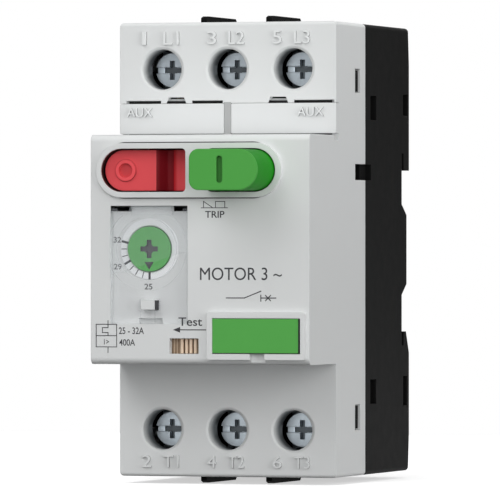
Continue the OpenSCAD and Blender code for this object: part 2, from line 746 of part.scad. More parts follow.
// Plain green marking plate with two push pins
module marking_plate() {
  color([0.3, 0.64, 0.3]) union() {
    along_y([panel_y - plate_rise, panel_y + 0.35]) round_rect(plate_x, plate_z, 0.15);
    for (x = plate_pins()) rod(x, plate_middle(), 1, [panel_y + 0.2, panel_y + 2.8]);
  }
}

// Bar across the poles that the bimetals push
module trip_bar() {
  color([0.85, 0.8, 0.6]) union() {
    block([-18.2, 18.4], [trip_y, trip_y + 2], [trip_z - 3, trip_z]);
    for (x = POLES) block([x - 2.1, x - 0.9], [trip_y + 1.8, trip_y + 7], [trip_z - 3, trip_z]);
    block([latch_pin[0] + 0.05, latch_pin[0] + 1.45], [trip_front + 0.4, trip_y + 0.2],
      [trip_z - 1.4, trip_z - 0.4]);
    block([-9, -7.4], [trip_front, trip_y + 0.2], [-18.8, trip_z - 1]);
  }
}

// Lever that holds the rocker until the trip bar moves it
module trip_latch() {
  y = [frame_y[0] - 2.9, frame_y[0] - 0.6];
  p = latch_pin;
  color([0.7, 0.72, 0.75]) difference() {
    union() {
      rod(p[0], p[1], 2, y);
      block([p[0] - 0.9, p[0] + 0.9], y, [p[1], 11.2]);
      block([p[0] + 0.2, p[0] + 2.6], y, [9.9, 11.2]);
      block([p[0] - 1.4, p[0] - 0.2], y, [trip_z - 2, p[1]]);
    }
    rod(p[0], p[1], 0.9 + run_gap, [y[0] - past, y[1] + past]);
  }
}

// Carrier that moves the three contact bridges
module contact_carrier() {
  y0 = bar_front;
  z = [carrier_z - 2, carrier_z + 2];
  stud_y = lever_y + 0.15;
  color([0.3, 0.3, 0.32]) difference() {
    union() {
      block([-19.3, 19.3], [y0, y0 + carrier_bar], [z[0] - 0.6, z[1] + 0.6]);
      for (x = POLES)
        block([x - 2.6, x + 2.6], [y0 + carrier_bar - 0.2, bridge_y + bridge_t + 1.2], z);
      block([stud_x - stud_r, stud_x + stud_r], [stud_y, y0 + 0.2], [button_z - 1.6, button_z + 1.6]);
      translate([stud_x, stud_y, button_z - 1.6]) cylinder(r = stud_r, h = 3.2);
    }
    for (x = POLES)
      block([x - 1.7, x + 1.7], [bridge_y - 5.6, bridge_y + bridge_t], [z[0] - past, z[1] + past]);
    for (x = POLES) rod(x, carrier_z, 1.3, [bridge_y - 6.6, bridge_y - 5.4]);
  }
}

// Copper bar with two silver tips
module contact_bridge(x) {
  z = [contact_low - bridge_over, contact_high + bridge_over];
  color([0.8, 0.5, 0.3]) union() {
    block([x - 1.6, x + 1.6], [bridge_y, bridge_y + bridge_t], z);
    for (c = [contact_low, contact_high]) rod(x, c, 1.5, [bridge_y + bridge_t - 0.2, bridge_tip_y]);
  }
}

// Turns of a spring as one ribbed sleeve, along the depth or up
module spring_sleeve(r, wire, from, to, count) {
  step = (to - from) / count;
  rotate_extrude() union() {
    translate([r - wire, from]) square([wire, to - from]);
    for (i = [0 : count - 1])
      translate([r, from + (i + 0.5) * step]) circle(min(wire, step * 0.46), $fn = 24);
  }
}

// Springs that press the bridges
module contact_springs() {
  color([0.75, 0.76, 0.78]) for (x = POLES) translate([x, 0, carrier_z]) rotate([-90, 0, 0])
    spring_sleeve(0.9, 0.3, bridge_y - 6.5, bridge_y, 7);
}

// Springs that open the contacts
module opening_springs() {
  color([0.75, 0.76, 0.78]) for (x = [-17.9, 17.9]) translate([x, 0, carrier_z]) rotate([-90, 0, 0])
    spring_sleeve(1.1, 0.3, bar_front + 2.6, base_floor, 14);
}

// Fixed conductor from a line terminal to its contact
module line_conductor(x) {
  color([0.8, 0.5, 0.3]) union() {
    block([x - bar_w / 2, x + bar_w / 2], [bar_y, bar_y + bar_t], [leg_z, end_z - 3.4]);
    block([x - bar_w / 2, x + bar_w / 2], [bar_y, -contact_back], [leg_z, leg_z + bar_t]);
    block([x - 2.4, x + 2.4], [plate_y, -contact_back], [18, leg_z + 0.2]);
    rod(x, contact_high, 1.5, [tip_y, plate_y + 0.2]);
  }
}

// Fixed conductor from the bimetal to a load terminal
module load_conductor(x) {
  color([0.8, 0.5, 0.3]) union() {
    block([x - bar_w / 2, x + bar_w / 2], [bar_y, bar_y + bar_t], [-end_z + 3.4, -leg_z]);
    block([x - bar_w / 2, x + bar_w / 2], [bar_y, plate_y], [-leg_z - bar_t, -leg_z]);
  }
}

// Terminal screw with a slot and a cross recess. Side 1 is the line side
module terminal_screw(pole, side) {
  x = POLES[pole];
  z = side * term_z;
  color([0.62, 0.66, 0.7]) difference() {
    union() {
      rod(x, z, head_r, [head_y, shank_y]);
      rod(x, z, thread_r, [shank_y - 0.2, bar_y - 0.05]);
    }
    block([x - head_r - past, x + head_r + past], [head_y - past, head_y + 1.1], [z - 0.6, z + 0.6]);
    cross_cut(x, z, 1.9, 1, [head_y - past, head_y + 1.7]);
  }
}

// Cage that the terminal screw draws up against the bar
module clamp_cage(pole, side) {
  x = POLES[pole];
  z = side * term_z;
  color([0.72, 0.74, 0.77]) difference() {
    block([x - cage_w / 2, x + cage_w / 2], [cage_front, cage_back], [z - cage_h / 2, z + cage_h / 2]);
    block([x - cage_w / 2 + cage_wall, x + cage_w / 2 - cage_wall],
      [cage_front + cage_nut, cage_inner], [z - cage_h, z + cage_h]);
    rod(x, z, thread_r + run_gap, [cage_front - past, cage_front + cage_nut + past]);
  }
}

// Winding of the short-circuit coil with the load-side fixed contact
module magnet_coil(x) {
  step = (coil_y[1] - coil_y[0] - 2) / turns;
  color([0.75, 0.42, 0.22]) union() {
    translate([x, 0, coil_z]) rotate([-90, 0, 0]) rotate_extrude() union() {
      translate([bobbin_r + 0.05, coil_y[0] + 1]) square([wire_r, coil_y[1] - coil_y[0] - 2]);
      for (i = [0 : turns - 1])
        translate([bobbin_r + 0.05 + wire_r, coil_y[0] + 1 + (i + 0.5) * step])
          circle(wire_r * 0.95, $fn = 32);
    }
    block([x - 2.4, x + 2.4], [plate_y, -contact_back], [-0.6, contact_low + 2]);
    rod(x, contact_low, 1.5, [tip_y, plate_y + 0.2]);
    block([x - 1, x + 1], [-contact_back - 0.1, -contact_back + 1.6], [coil_z + 2.4, 0.2]);
    block([x - 1, x + 1], [-9, -7.6], [-17.4, coil_z - 2.4]);
  }
}

// Steel yoke around the coil
module magnet_yoke(x) {
  z = [coil_z - 3.6, coil_z + 3.6];
  color([0.55, 0.56, 0.6]) difference() {
    union() {
      for (y = [coil_y[0] - 1.1, coil_y[1]])
        block([x - 3.9, x + 5], [y, y + 1.1], z);
      block([x + 4, x + 5], [coil_y[0] - 1, coil_y[1] + 1], z);
    }
    rod(x, coil_z, bobbin_r + 0.02, [coil_y[0] - 2, coil_y[0] + past]);
  }
}

// Plastic bobbins inside the coils
module coil_bobbins() {
  color([0.9, 0.9, 0.86]) for (x = POLES) difference() {
    rod(x, coil_z, bobbin_r, [coil_y[0] - 1.1, coil_y[1]]);
    rod(x, coil_z, core_r + run_gap, [coil_y[0] - 2, coil_y[1] - 1]);
  }
}

// Striker that the coil throws against the trip bar
module striker(x) {
  color([0.6, 0.62, 0.66]) union() {
    rod(x, coil_z, core_r, [coil_y[0] - 3, coil_y[1] - 1.2]);
    rod(x, coil_z, 0.8, [trip_y + 5, coil_y[0] - 2.8]);
  }
}

// Bimetal strip that stands on the load conductor
module bimetal(x) {
  color([0.66, 0.6, 0.5])
    block([x - 0.5, x + 0.5], [trip_y + 2.4, trip_y + 7.4], [-leg_z, trip_z - 0.6]);
}

// Heater winding around the bimetal, with leads to the coil and to the load conductor
module heater(x) {
  y = [trip_y + 1.9, trip_y + 7.9];
  loops = 6;
  z0 = -leg_z + 5;
  step = 1.5;
  color([0.62, 0.56, 0.5]) union() {
    difference() {
      union() {
        block([x - 1.7, x + 1.7], y, [z0, z0 + loops * step]);
        for (i = [0 : loops - 1])
          block([x - 2.1, x + 2.1], [y[0] - 0.5, y[1] + 0.5],
            [z0 + (i + 0.2) * step, z0 + (i + 0.8) * step]);
      }
      block([x - 0.9, x + 0.9], [y[0] + 0.2, y[1] - 0.2], [z0 - past, z0 + loops * step + past]);
    }
    block([x - 0.9, x + 0.9], [y[1], y[1] + 1.2], [-leg_z, z0 + 1]);
    block([x - 0.9, x + 0.9], [y[1], -9], [-16.6, -15.2]);
  }
}

// Steel plates that split the arc beside the line contacts
module arc_plates() {
  color([0.6, 0.62, 0.66]) for (x = POLES, i = [0 : 4])
    block([x - 5, x + 5], [-8.4, 1.4], [leg_z + 1.8 + i * 2.2, leg_z + 2.8 + i * 2.2]);
}

// Sprung latch that holds the lower edge of the rail
module rail_latch() {
  half = latch_w / 2;
  color([0.12, 0.12, 0.12]) difference() {
    union() {
      along_x([-half, half]) polygon([[latch_y[0], latch_end], [latch_y[1], latch_end],
        [latch_y[1], -21], [latch_y[1] - 1.9, -rail_half[0]], [latch_y[0], -rail_half[0]]]);
      block([-half - latch_side, half + latch_side], [latch_y[0], latch_rail_y],
        [latch_end, -rail_undercut - 2.8]);
    }
    block([-1.7, 1.7], [latch_y[0] - past, latch_y[1] + past], [spring_z[0] - 1.6, spring_z[1]]);
    block([-3, 3], [latch_y[0] - past, latch_y[1] + past], [latch_end + 2, latch_end + 3.6]);
  }
}

// Spring that pushes the rail latch up against the rail
module latch_spring() {
  color([0.75, 0.76, 0.78]) translate([0, (latch_y[0] + latch_y[1]) / 2, 0])
    spring_sleeve(0.7, 0.25, spring_z[0], spring_z[1], 8);
}

front_cover();
base_housing();
mechanism_frame();
accessory_cover(-1);  // accessory_cover_left
accessory_cover(1);  // accessory_cover_right
start_button();
stop_button();
rocker_lever();
rocker_pin();
setting_dial();
dial_cover();
test_slider();
marking_plate();
trip_bar();
trip_latch();
contact_carrier();
contact_bridge(POLES[0]);  // contact_bridge_1
contact_bridge(POLES[1]);  // contact_bridge_2
contact_bridge(POLES[2]);  // contact_bridge_3
contact_springs();
opening_springs();
line_conductor(POLES[0]);  // line_conductor_1
line_conductor(POLES[1]);  // line_conductor_2
line_conductor(POLES[2]);  // line_conductor_3
load_conductor(POLES[0]);  // load_conductor_1
load_conductor(POLES[1]);  // load_conductor_2
load_conductor(POLES[2]);  // load_conductor_3
terminal_screw(0, 1);  // terminal_screw_l1
terminal_screw(1, 1);  // terminal_screw_l2
terminal_screw(2, 1);  // terminal_screw_l3
terminal_screw(0, -1);  // terminal_screw_t1
terminal_screw(1, -1);  // terminal_screw_t2
terminal_screw(2, -1);  // terminal_screw_t3
clamp_cage(0, 1);  // clamp_cage_l1
clamp_cage(1, 1);  // clamp_cage_l2
clamp_cage(2, 1);  // clamp_cage_l3
clamp_cage(0, -1);  // clamp_cage_t1
clamp_cage(1, -1);  // clamp_cage_t2
clamp_cage(2, -1);  // clamp_cage_t3
magnet_coil(POLES[0]);  // magnet_coil_1
magnet_coil(POLES[1]);  // magnet_coil_2
magnet_coil(POLES[2]);  // magnet_coil_3
magnet_yoke(POLES[0]);  // magnet_yoke_1
magnet_yoke(POLES[1]);  // magnet_yoke_2
magnet_yoke(POLES[2]);  // magnet_yoke_3
coil_bobbins();
striker(POLES[0]);  // striker_1
striker(POLES[1]);  // striker_2
striker(POLES[2]);  // striker_3
bimetal(POLES[0]);  // bimetal_1
bimetal(POLES[1]);  // bimetal_2
bimetal(POLES[2]);  // bimetal_3
heater(POLES[0]);  // heater_1
heater(POLES[1]);  // heater_2
heater(POLES[2]);  // heater_3
arc_plates();
rail_latch();
latch_spring();
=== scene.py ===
"""Finishes, markings and stage of a three-pole motor protection breaker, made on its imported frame."""

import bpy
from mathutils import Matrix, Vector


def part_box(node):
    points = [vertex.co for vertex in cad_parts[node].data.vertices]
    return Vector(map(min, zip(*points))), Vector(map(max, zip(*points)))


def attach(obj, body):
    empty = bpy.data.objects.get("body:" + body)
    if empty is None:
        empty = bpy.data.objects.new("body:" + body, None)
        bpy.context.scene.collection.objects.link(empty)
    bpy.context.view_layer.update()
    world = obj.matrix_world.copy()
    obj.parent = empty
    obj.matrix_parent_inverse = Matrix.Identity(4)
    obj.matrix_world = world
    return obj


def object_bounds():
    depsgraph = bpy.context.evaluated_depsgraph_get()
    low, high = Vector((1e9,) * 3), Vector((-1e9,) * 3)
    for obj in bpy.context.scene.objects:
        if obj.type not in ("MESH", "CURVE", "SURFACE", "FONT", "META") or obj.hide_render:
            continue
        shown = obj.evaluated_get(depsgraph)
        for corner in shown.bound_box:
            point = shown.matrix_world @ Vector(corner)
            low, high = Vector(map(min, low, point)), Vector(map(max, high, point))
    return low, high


bl_info = {
    "name": "Motor protection breaker",
    "version": (1, 0, 0),
    "blender": (4, 5, 0),
    "location": "3D View > Sidebar > Breaker",
    "description": "Finishes, markings and stage of a three-pole motor protection breaker",
    "category": "Object",
}

import math
import bmesh
import bpy
from mathutils import Vector

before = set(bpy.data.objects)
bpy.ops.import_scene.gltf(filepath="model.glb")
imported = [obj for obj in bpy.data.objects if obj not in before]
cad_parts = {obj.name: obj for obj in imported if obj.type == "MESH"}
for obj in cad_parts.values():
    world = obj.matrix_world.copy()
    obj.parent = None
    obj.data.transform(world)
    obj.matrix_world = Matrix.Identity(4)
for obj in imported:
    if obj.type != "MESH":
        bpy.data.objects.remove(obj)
CAD_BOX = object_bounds()
MM = 0.001

# Steps of the front cover that the frame doesn't name
BEZEL_RISE = 0.8 * MM
RECESS_DEPTH = 1.6 * MM
RING_RISE = 0.35 * MM
BUTTON_Z = 15.5 * MM
BUTTON_END_R = 4.7 * MM
STOP_RING_IN = 4.3 * MM
SCALE_THICKNESS = 0.14 * MM

# Planes across the depth, read from the frame
BEZEL_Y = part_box("front_cover")[0].y
PANEL_Y = BEZEL_Y + BEZEL_RISE
RECESS_Y = PANEL_Y + RECESS_DEPTH
FACE_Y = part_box("accessory_cover_left")[0].y

# Pieces and places, read from the frame
LINES = ("l1", "l2", "l3")
LOADS = ("t1", "t2", "t3")
POLES = (1, 2, 3)
DIAL_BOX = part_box("setting_dial")
DIAL_X = (DIAL_BOX[0].x + DIAL_BOX[1].x) / 2
DIAL_Z = (DIAL_BOX[0].z + DIAL_BOX[1].z) / 2
SCREW_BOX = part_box("terminal_screw_l3")
SCREW_X = (SCREW_BOX[0].x + SCREW_BOX[1].x) / 2
SCREW_Z = (SCREW_BOX[0].z + SCREW_BOX[1].z) / 2
START_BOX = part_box("start_button")
STOP_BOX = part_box("stop_button")
WELL_X = (STOP_BOX[0].x + START_BOX[1].x) / 2
WELL_HALF = (START_BOX[1].x - STOP_BOX[0].x) / 2 - BUTTON_END_R

# Words printed on the panel: name, words, left and right, bottom and top, all in mm, extra weight
PANEL_WORDS = (
    ("mark_trip_word", "TRIP", (1.16, 5.13), (6.2, 7.51), 0.01),
    ("mark_test_word", "Test", (-4.33, 0.54), (-14.94, -13.27), 0.01),
    ("mark_motor_word", "MOTOR 3 ~", (0.1, 16.9), (-5.98, -3.51), 0.0),
    ("mark_range", "25 - 32A", (-16.67, -11.48), (-16.58, -15.25), 0.01),
    ("mark_peak", "400A", (-16.6, -13.3), (-18.86, -17.57), 0.01),
)
# Symbols printed on the panel: name, then each line's share of the line width and its points in mm
PANEL_SYMBOLS = (
    ("mark_trip_wave", (
        (0.7, ((0.34, 8.14), (5.75, 8.14))),
        (0.7, ((0.83, 8.14), (0.83, 9.41), (2.74, 8.14))),
        (0.7, ((3.29, 8.14), (3.29, 9.38), (5.2, 9.38), (5.2, 8.14))))),
    ("mark_releases", (
        (0.8, ((-21.37, -14.67), (-17.13, -14.67), (-17.13, -19.1), (-21.37, -19.1), (-21.37, -14.67))),
        (0.8, ((-21.37, -16.9), (-17.13, -16.9))),
        (0.8, ((-18.92, -13.95), (-18.92, -15.32), (-20.08, -15.32), (-20.08, -16.3),
               (-18.92, -16.3), (-18.92, -16.9))),
        (0.8, ((-18.92, -19.1), (-18.92, -20.2))),
        (0.7, ((-19.68, -17.61), (-19.68, -18.55))),
        (0.7, ((-19.25, -17.8), (-18.79, -18.08), (-19.25, -18.36))))),
    ("mark_switch", (
        (1.0, ((5.52, -9.45), (9.22, -9.45), (12.59, -8.13))),
        (1.0, ((12.59, -8.9), (12.59, -10.05))),
        (1.0, ((12.59, -9.45), (15.65, -9.45))),
        (1.0, ((13.56, -8.95), (14.58, -9.97))),
        (1.0, ((13.56, -9.97), (14.58, -8.95))))),
)
ARROW_LINE = ((1.33, -15.7), (-4.2, -15.7))
ARROW_HEAD = ((-5.48, -15.7), (-4.0, -15.15), (-4.0, -16.25))
# Numbers of the dial scale: left and right, bottom and top, in mm
SCALE_NUMBERS = {
    "32": ((-18.3, -16.75), (1.35, 2.48)),
    "29": ((-18.25, -16.65), (-3.94, -2.81)),
    "25": ((-11.9, -10.25), (-7.85, -6.7)),
}
SCALE_TICKS = 8
NUMBERED_TICKS = (0, 4, 7)
# Painted shadow in the sealing lug's slot, a dark sheet: corners in mm
SEAL_SLOT_SHADOW = ((-9.3, -11.9), (-8.9, -11.9), (-8.9, -9.95), (-9.3, -9.95))
# Lights: name, brightness, side and place in metres
LIGHTS = (
    ("key", 2.2, 1.4, (-0.6, -1.2, 1.5)),
    ("front", 1.75, 2.6, (0.5, -2.2, 0.2)),
    ("right", 3.9, 1.6, (2.0, -0.6, 0.3)),
    ("left", 1.1, 1.6, (-2.0, -0.6, 0.4)),
    ("top", 1.5, 1.6, (0.0, 0.2, 2.0)),
    ("rear", 1.0, 2.0, (0.3, 2.2, 1.2)),
)
CAMERA_TARGET = (4.672 * MM, -44.7 * MM, 0.0)
CAMERA_DISTANCE = 1.3339
CAMERA_TURN = math.radians(18.054)


# ---------------------------------------------------------------- shader tools

class Varying:
    """A number that varies over a surface. Arithmetic on it adds Math nodes."""

    def __init__(self, finish, socket):
        self.finish = finish
        self.socket = socket

    def __add__(self, other):
        return self.finish.maths("ADD", self, other)

    def __radd__(self, other):
        return self.finish.maths("ADD", other, self)

    def __sub__(self, other):
        return self.finish.maths("SUBTRACT", self, other)

    def __rsub__(self, other):
        return self.finish.maths("SUBTRACT", other, self)

    def __mul__(self, other):
        return self.finish.maths("MULTIPLY", self, other)

    def __rmul__(self, other):
        return self.finish.maths("MULTIPLY", other, self)


class Finish:
    """A material with one Principled surface, and the means to add nodes to it."""

    def __init__(self, name, **constants):
        self.material = bpy.data.materials.new(name)
        self.material.use_nodes = True
        self.tree = self.material.node_tree
        self.surface = self.tree.nodes["Principled BSDF"]
        self.places = None
        for label, value in constants.items():
            self.feed(self.surface.inputs[label.replace("_", " ")], value)

    def feed(self, socket, value):
        """Sets a socket to a constant, or links a varying value to it."""
        if isinstance(value, Varying):
            self.tree.links.new(value.socket, socket)
        elif socket.type == "RGBA":
            socket.default_value = (*value[:3], 1.0)
        else:
            socket.default_value = value

    def node(self, kind, settings, sockets, result=0):
        """Adds a node: its settings first, then the values or links of its sockets."""
        node = self.tree.nodes.new(kind)
        for name, setting in settings.items():
            setattr(node, name, setting)
        for key, value in sockets.items():
            self.feed(node.inputs[key], value)
        return Varying(self, node.outputs[result])

    def maths(self, operation, first, second=0.0):
        """A number worked out by a Math node."""
        return self.node("ShaderNodeMath", {"operation": operation}, {0: first, 1: second})

    def mix(self, amount, first, second):
        """A colour between two colours."""
        return self.node("ShaderNodeMix", {"data_type": "RGBA"}, {0: amount, 6: first, 7: second}, 2)

    def place(self):
        """Where a point lies in the part's own frame, in metres."""
        if self.places is None:
            self.places = self.node("ShaderNodeTexCoord", {}, {}, "Object")
        return self.places

    def axes(self):
        """The three parts of the place: across, in depth and up."""
        node = self.tree.nodes.new("ShaderNodeSeparateXYZ")
        self.feed(node.inputs[0], self.place())
        return [Varying(self, output) for output in node.outputs]

    def noise(self, size, detail=2.0, stretch=(1.0, 1.0, 1.0)):
        """Soft spots of about the given size, from 0 to 1."""
        where = self.place()
        if stretch != (1.0, 1.0, 1.0):
            settings = {"operation": "MULTIPLY"}
            where = self.node("ShaderNodeVectorMath", settings, {0: where, 1: stretch})
        return self.node("ShaderNodeTexNoise", {},
                         {"Vector": where, "Scale": 1.0 / size, "Detail": detail})

    def rise(self, value, low, high):
        """0 below low, 1 above high and smooth between them."""
        settings = {"interpolation_type": "SMOOTHSTEP"}
        return self.node("ShaderNodeMapRange", settings, {0: value, 1: low, 2: high})

    def within(self, value, low, high, soft):
        """1 between two limits and 0 outside them."""
        return self.rise(value, low, low + soft) * (1 - self.rise(value, high - soft, high))

    def radius(self, x, z):
        """Distance from an axis that runs along the depth."""
        across, _, up = self.axes()
        return self.maths("SQRT", (across - x) * (across - x) + (up - z) * (up - z))

    def bump(self, height, depth, edge):
        """Feeds the surface's normal from a height, with edges rounded by a radius."""
        rounded = self.node("ShaderNodeBevel", {"samples": 6}, {"Radius": edge})
        normal = self.node("ShaderNodeBump", {},
                           {"Strength": 1.0, "Distance": depth, "Height": height, "Normal": rounded})
        self.feed(self.surface.inputs["Normal"], normal)

    def colour(self, value):
        """Feeds the surface's colour."""
        self.feed(self.surface.inputs["Base Color"], value)

    def roughness(self, value):
        """Feeds the surface's roughness."""
        self.feed(self.surface.inputs["Roughness"], value)


def shade(colour, share):
    """A colour made lighter or darker by a share."""
    return [min(1.0, part * share) for part in colour[:3]]


def moulded(name, colour, roughness, grain, edge, mottle=0.03, specular=0.3):
    """Moulded plastic: spark-eroded grain, slow waves of the skin and faint flow marks."""
    finish = Finish(name, Specular_IOR_Level=specular)
    flow = finish.noise(9 * MM, 3.0, (1.0, 1.0, 0.35))
    finish.colour(finish.mix(flow, shade(colour, 1 - mottle), shade(colour, 1 + mottle)))
    finish.roughness(roughness - 0.05 + 0.1 * finish.noise(2.5 * MM))
    fine = finish.noise(0.22 * MM, 3.0)
    waves = finish.noise(14 * MM, 1.0)
    finish.bump(fine * 0.35 + waves * 2.0, grain, edge)
    return finish


def metal(name, colour, roughness, stretch, edge=0.12 * MM):
    """Bare or plated metal with fine marks drawn out along one axis."""
    finish = Finish(name, Metallic=1.0)
    marks = finish.noise(0.6 * MM, 4.0, stretch)
    tarnish = finish.noise(3 * MM, 2.0)
    finish.colour(finish.mix(tarnish, shade(colour, 0.82), shade(colour, 1.12)))
    finish.roughness(roughness - 0.08 + 0.16 * marks)
    finish.bump(marks, 0.01 * MM, edge)
    return finish


def made_already(name):
    """The finish that was made under this name, or None before its first use."""
    material = bpy.data.materials.get(name)
    if material is None:
        return None
    finish = Finish.__new__(Finish)
    finish.material = material
    return finish


def ink_and_shadow_finish():
    """Dark grey pad-printing ink, also used for the painted shadow in the sealing lug's slot, made
    once.
    """
    finish = made_already("printing_ink_and_painted_shadow")
    if finish:
        return finish
    looks = bpy.context.scene.breaker_marks
    finish = Finish("printing_ink_and_painted_shadow", Specular_IOR_Level=0.3)
    spots = finish.noise(0.15 * MM, 3.0)
    finish.colour(finish.mix(spots, shade(looks.ink, 0.85), shade(looks.ink, 1.2)))
    finish.roughness(0.5 + 0.15 * spots)
    return finish


def grey_finish():
    """Light grey housing plastic, made once."""
    finish = made_already("housing_grey")
    if finish:
        return finish
    looks = bpy.context.scene.breaker_housing
    return moulded("housing_grey", looks.grey, looks.roughness, looks.grain, looks.edge, 0.012, 0.35)


def letter_finish():
    """Grey of the raised letters, with painted shade on their sides, a painted lighter face and finer
    edges, made once.
    """
    finish = made_already("letter_grey")
    if finish:
        return finish
    looks = bpy.context.scene.breaker_housing
    raised = bpy.context.scene.breaker_marks.raised
    finish = moulded("letter_grey", looks.grey, looks.roughness, looks.grain, 0.03 * MM)
    _, depth, _ = finish.axes()
    # Painted shade: the letters' sides behind their faces take a shaded copy of the grey, and the faces
    # a painted lighter copy.
    low = finish.rise(depth, FACE_Y - raised * 0.55, FACE_Y - raised * 0.3)
    finish.colour(finish.mix(low, shade(looks.grey, 1.08), shade(looks.grey, 0.22)))
    return finish


# ---------------------------------------------------------------- mesh tools

def dress(node, finish):
    """Gives a CAD node its finish."""
    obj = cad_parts[node]
    obj.data.materials.clear()
    obj.data.materials.append(finish.material)


def add_piece(name, mesh, finish, body):
    """Adds a new piece that rides on a body."""
    obj = bpy.data.objects.new(name, mesh)
    bpy.context.scene.collection.objects.link(obj)
    mesh.materials.clear()
    mesh.materials.append(finish.material)
    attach(obj, body)


def prism_mesh(name, outlines, front, back):
    """Flat outlines, drawn across and up, filled and given a depth."""
    mesh = bpy.data.meshes.new(name)
    shape = bmesh.new()
    for outline in outlines:
        corners = [shape.verts.new((x, front, z)) for x, z in outline]
        face = shape.faces.new(corners)
        grown = bmesh.ops.extrude_face_region(shape, geom=[face])
        moved = [part for part in grown["geom"] if isinstance(part, bmesh.types.BMVert)]
        bmesh.ops.translate(shape, verts=moved, vec=(0, back - front, 0))
    bmesh.ops.recalc_face_normals(shape, faces=shape.faces)
    shape.to_mesh(mesh)
    shape.free()
    return mesh


def turned_mesh(name, x, z, profile, steps=96):
    """A closed profile of radius and depth, turned round an axis along the depth."""
    mesh = bpy.data.meshes.new(name)
    shape = bmesh.new()
    rings = []
    for step in range(steps):
        angle = 2 * math.pi * step / steps
        rings.append([shape.verts.new((x + r * math.cos(angle), y, z + r * math.sin(angle)))
                      for r, y in profile])
    for step in range(steps):
        here = rings[step]
        there = rings[(step + 1) % steps]
        for k in range(len(profile)):
            after = (k + 1) % len(profile)
            shape.faces.new((here[k], here[after], there[after], there[k]))
    bmesh.ops.recalc_face_normals(shape, faces=shape.faces)
    shape.to_mesh(mesh)
    shape.free()
    return mesh


def stroke(points, width):
    """Outlines of straight strokes from point to point. The points are in millimetres."""
    outlines = []
    for start, end in zip(points, points[1:]):
        start = Vector(start) * MM
        end = Vector(end) * MM
        along = (end - start).normalized() * width / 2
        side = Vector((-along.y, along.x))
        corners = (start - along + side, end + along + side, end + along - side, start - along - side)
        outlines.append([tuple(corner) for corner in corners])
    return outlines


def lettering_mesh(name, words, x, z, weight, front, back):
    """Words that fill a box from x[0] to x[1] and z[0] to z[1], in millimetres, with a depth."""
    curve = bpy.data.curves.new(name, "FONT")
    curve.body = words
    curve.extrude = 0.5
    curve.offset = weight
    curve.resolution_u = 5
    text = bpy.data.objects.new(name, curve)
    bpy.context.scene.collection.objects.link(text)
    depsgraph = bpy.context.evaluated_depsgraph_get()
    mesh = bpy.data.meshes.new_from_object(text.evaluated_get(depsgraph))
    bpy.data.objects.remove(text)
    bpy.data.curves.remove(curve)
    across = [vertex.co.x for vertex in mesh.vertices]
    upward = [vertex.co.y for vertex in mesh.vertices]
    wide = (x[1] - x[0]) * MM / (max(across) - min(across))
    high = (z[1] - z[0]) * MM / (max(upward) - min(upward))
    left = min(across)
    foot = min(upward)
    for vertex in mesh.vertices:
        u, v, depth = vertex.co
        y = front if depth > 0 else back
        vertex.co = (x[0] * MM + (u - left) * wide, y, z[0] * MM + (v - foot) * high)
    mesh.name = name
    return mesh


def panel_print(name, mesh_maker, *shape):
    """Adds a printed mark that lies on the panel."""
    front = PANEL_Y - bpy.context.scene.breaker_marks.ink_depth
    mesh = mesh_maker(name, *shape, front, PANEL_Y + 0.02 * MM)
    add_piece(name, mesh, ink_and_shadow_finish(), "housing")


# ---------------------------------------------------------------- sizes and colours

class HousingLooks(bpy.types.PropertyGroup):
    """Sizes and colours of the two housing shells."""

    grey: bpy.props.FloatVectorProperty(
        name="Grey", description="Colour of the front cover", subtype="COLOR",
        default=(0.76, 0.775, 0.775), min=0.0, max=1.0)
    black: bpy.props.FloatVectorProperty(
        name="Black", description="Colour of the base housing", subtype="COLOR",
        default=(0.007, 0.007, 0.007), min=0.0, max=1.0)
    roughness: bpy.props.FloatProperty(
        name="Roughness", description="Roughness of the grey plastic", default=0.42, min=0.0, max=1.0)
    edge: bpy.props.FloatProperty(
        name="Edge", description="Width of the rounding on the outer edges", unit="LENGTH",
        default=0.22 * MM, min=0.05 * MM, max=1.0 * MM)
    grain: bpy.props.FloatProperty(
        name="Grain", description="Depth of the moulded grain", unit="LENGTH",
        default=0.02 * MM, min=0.0, max=0.2 * MM)


class ButtonLooks(bpy.types.PropertyGroup):
    """Colours of the start and stop buttons; the side colours are shaded copies that paint shade on the
    sides.
    """

    start_front: bpy.props.FloatVectorProperty(
        name="Start front", description="Colour of the start button's front", subtype="COLOR",
        default=(0.09, 0.40, 0.075), min=0.0, max=1.0)
    # Painted shade: the start button's sides as a shaded copy of its green.
    start_side_painted_shade: bpy.props.FloatVectorProperty(
        name="Start side", description="Colour of the start button's sides", subtype="COLOR",
        default=(0.008, 0.26, 0.004), min=0.0, max=1.0)
    stop_front: bpy.props.FloatVectorProperty(
        name="Stop front", description="Colour of the stop button's front", subtype="COLOR",
        default=(0.90, 0.10, 0.115), min=0.0, max=1.0)
    # Painted shade: the stop button's sides and dish as a shaded copy of its red.
    stop_side_painted_shade: bpy.props.FloatVectorProperty(
        name="Stop side", description="Colour of the stop button's sides and dish", subtype="COLOR",
        default=(0.60, 0.015, 0.025), min=0.0, max=1.0)


class DialLooks(bpy.types.PropertyGroup):
    """Sizes and colours of the setting dial, its scale and its clear cover."""

    dial: bpy.props.FloatVectorProperty(
        name="Dial", description="Colour of the setting dial", subtype="COLOR",
        default=(0.11, 0.46, 0.11), min=0.0, max=1.0)
    scale: bpy.props.FloatVectorProperty(
        name="Scale ring", description="Colour of the ring behind the scale", subtype="COLOR",
        default=(0.95, 0.96, 0.98), min=0.0, max=1.0)
    scale_radius: bpy.props.FloatProperty(
        name="Scale radius", description="Outer radius of the scale ring", unit="LENGTH",
        default=6.0 * MM, min=5.0 * MM, max=6.4 * MM)
    cover: bpy.props.FloatVectorProperty(
        name="Cover", description="Tint of the clear cover", subtype="COLOR",
        default=(0.74, 0.77, 0.83), min=0.0, max=1.0)
    haze: bpy.props.FloatProperty(
        name="Haze", description="How much the clear cover hides what is behind it",
        default=0.025, min=0.0, max=1.0)


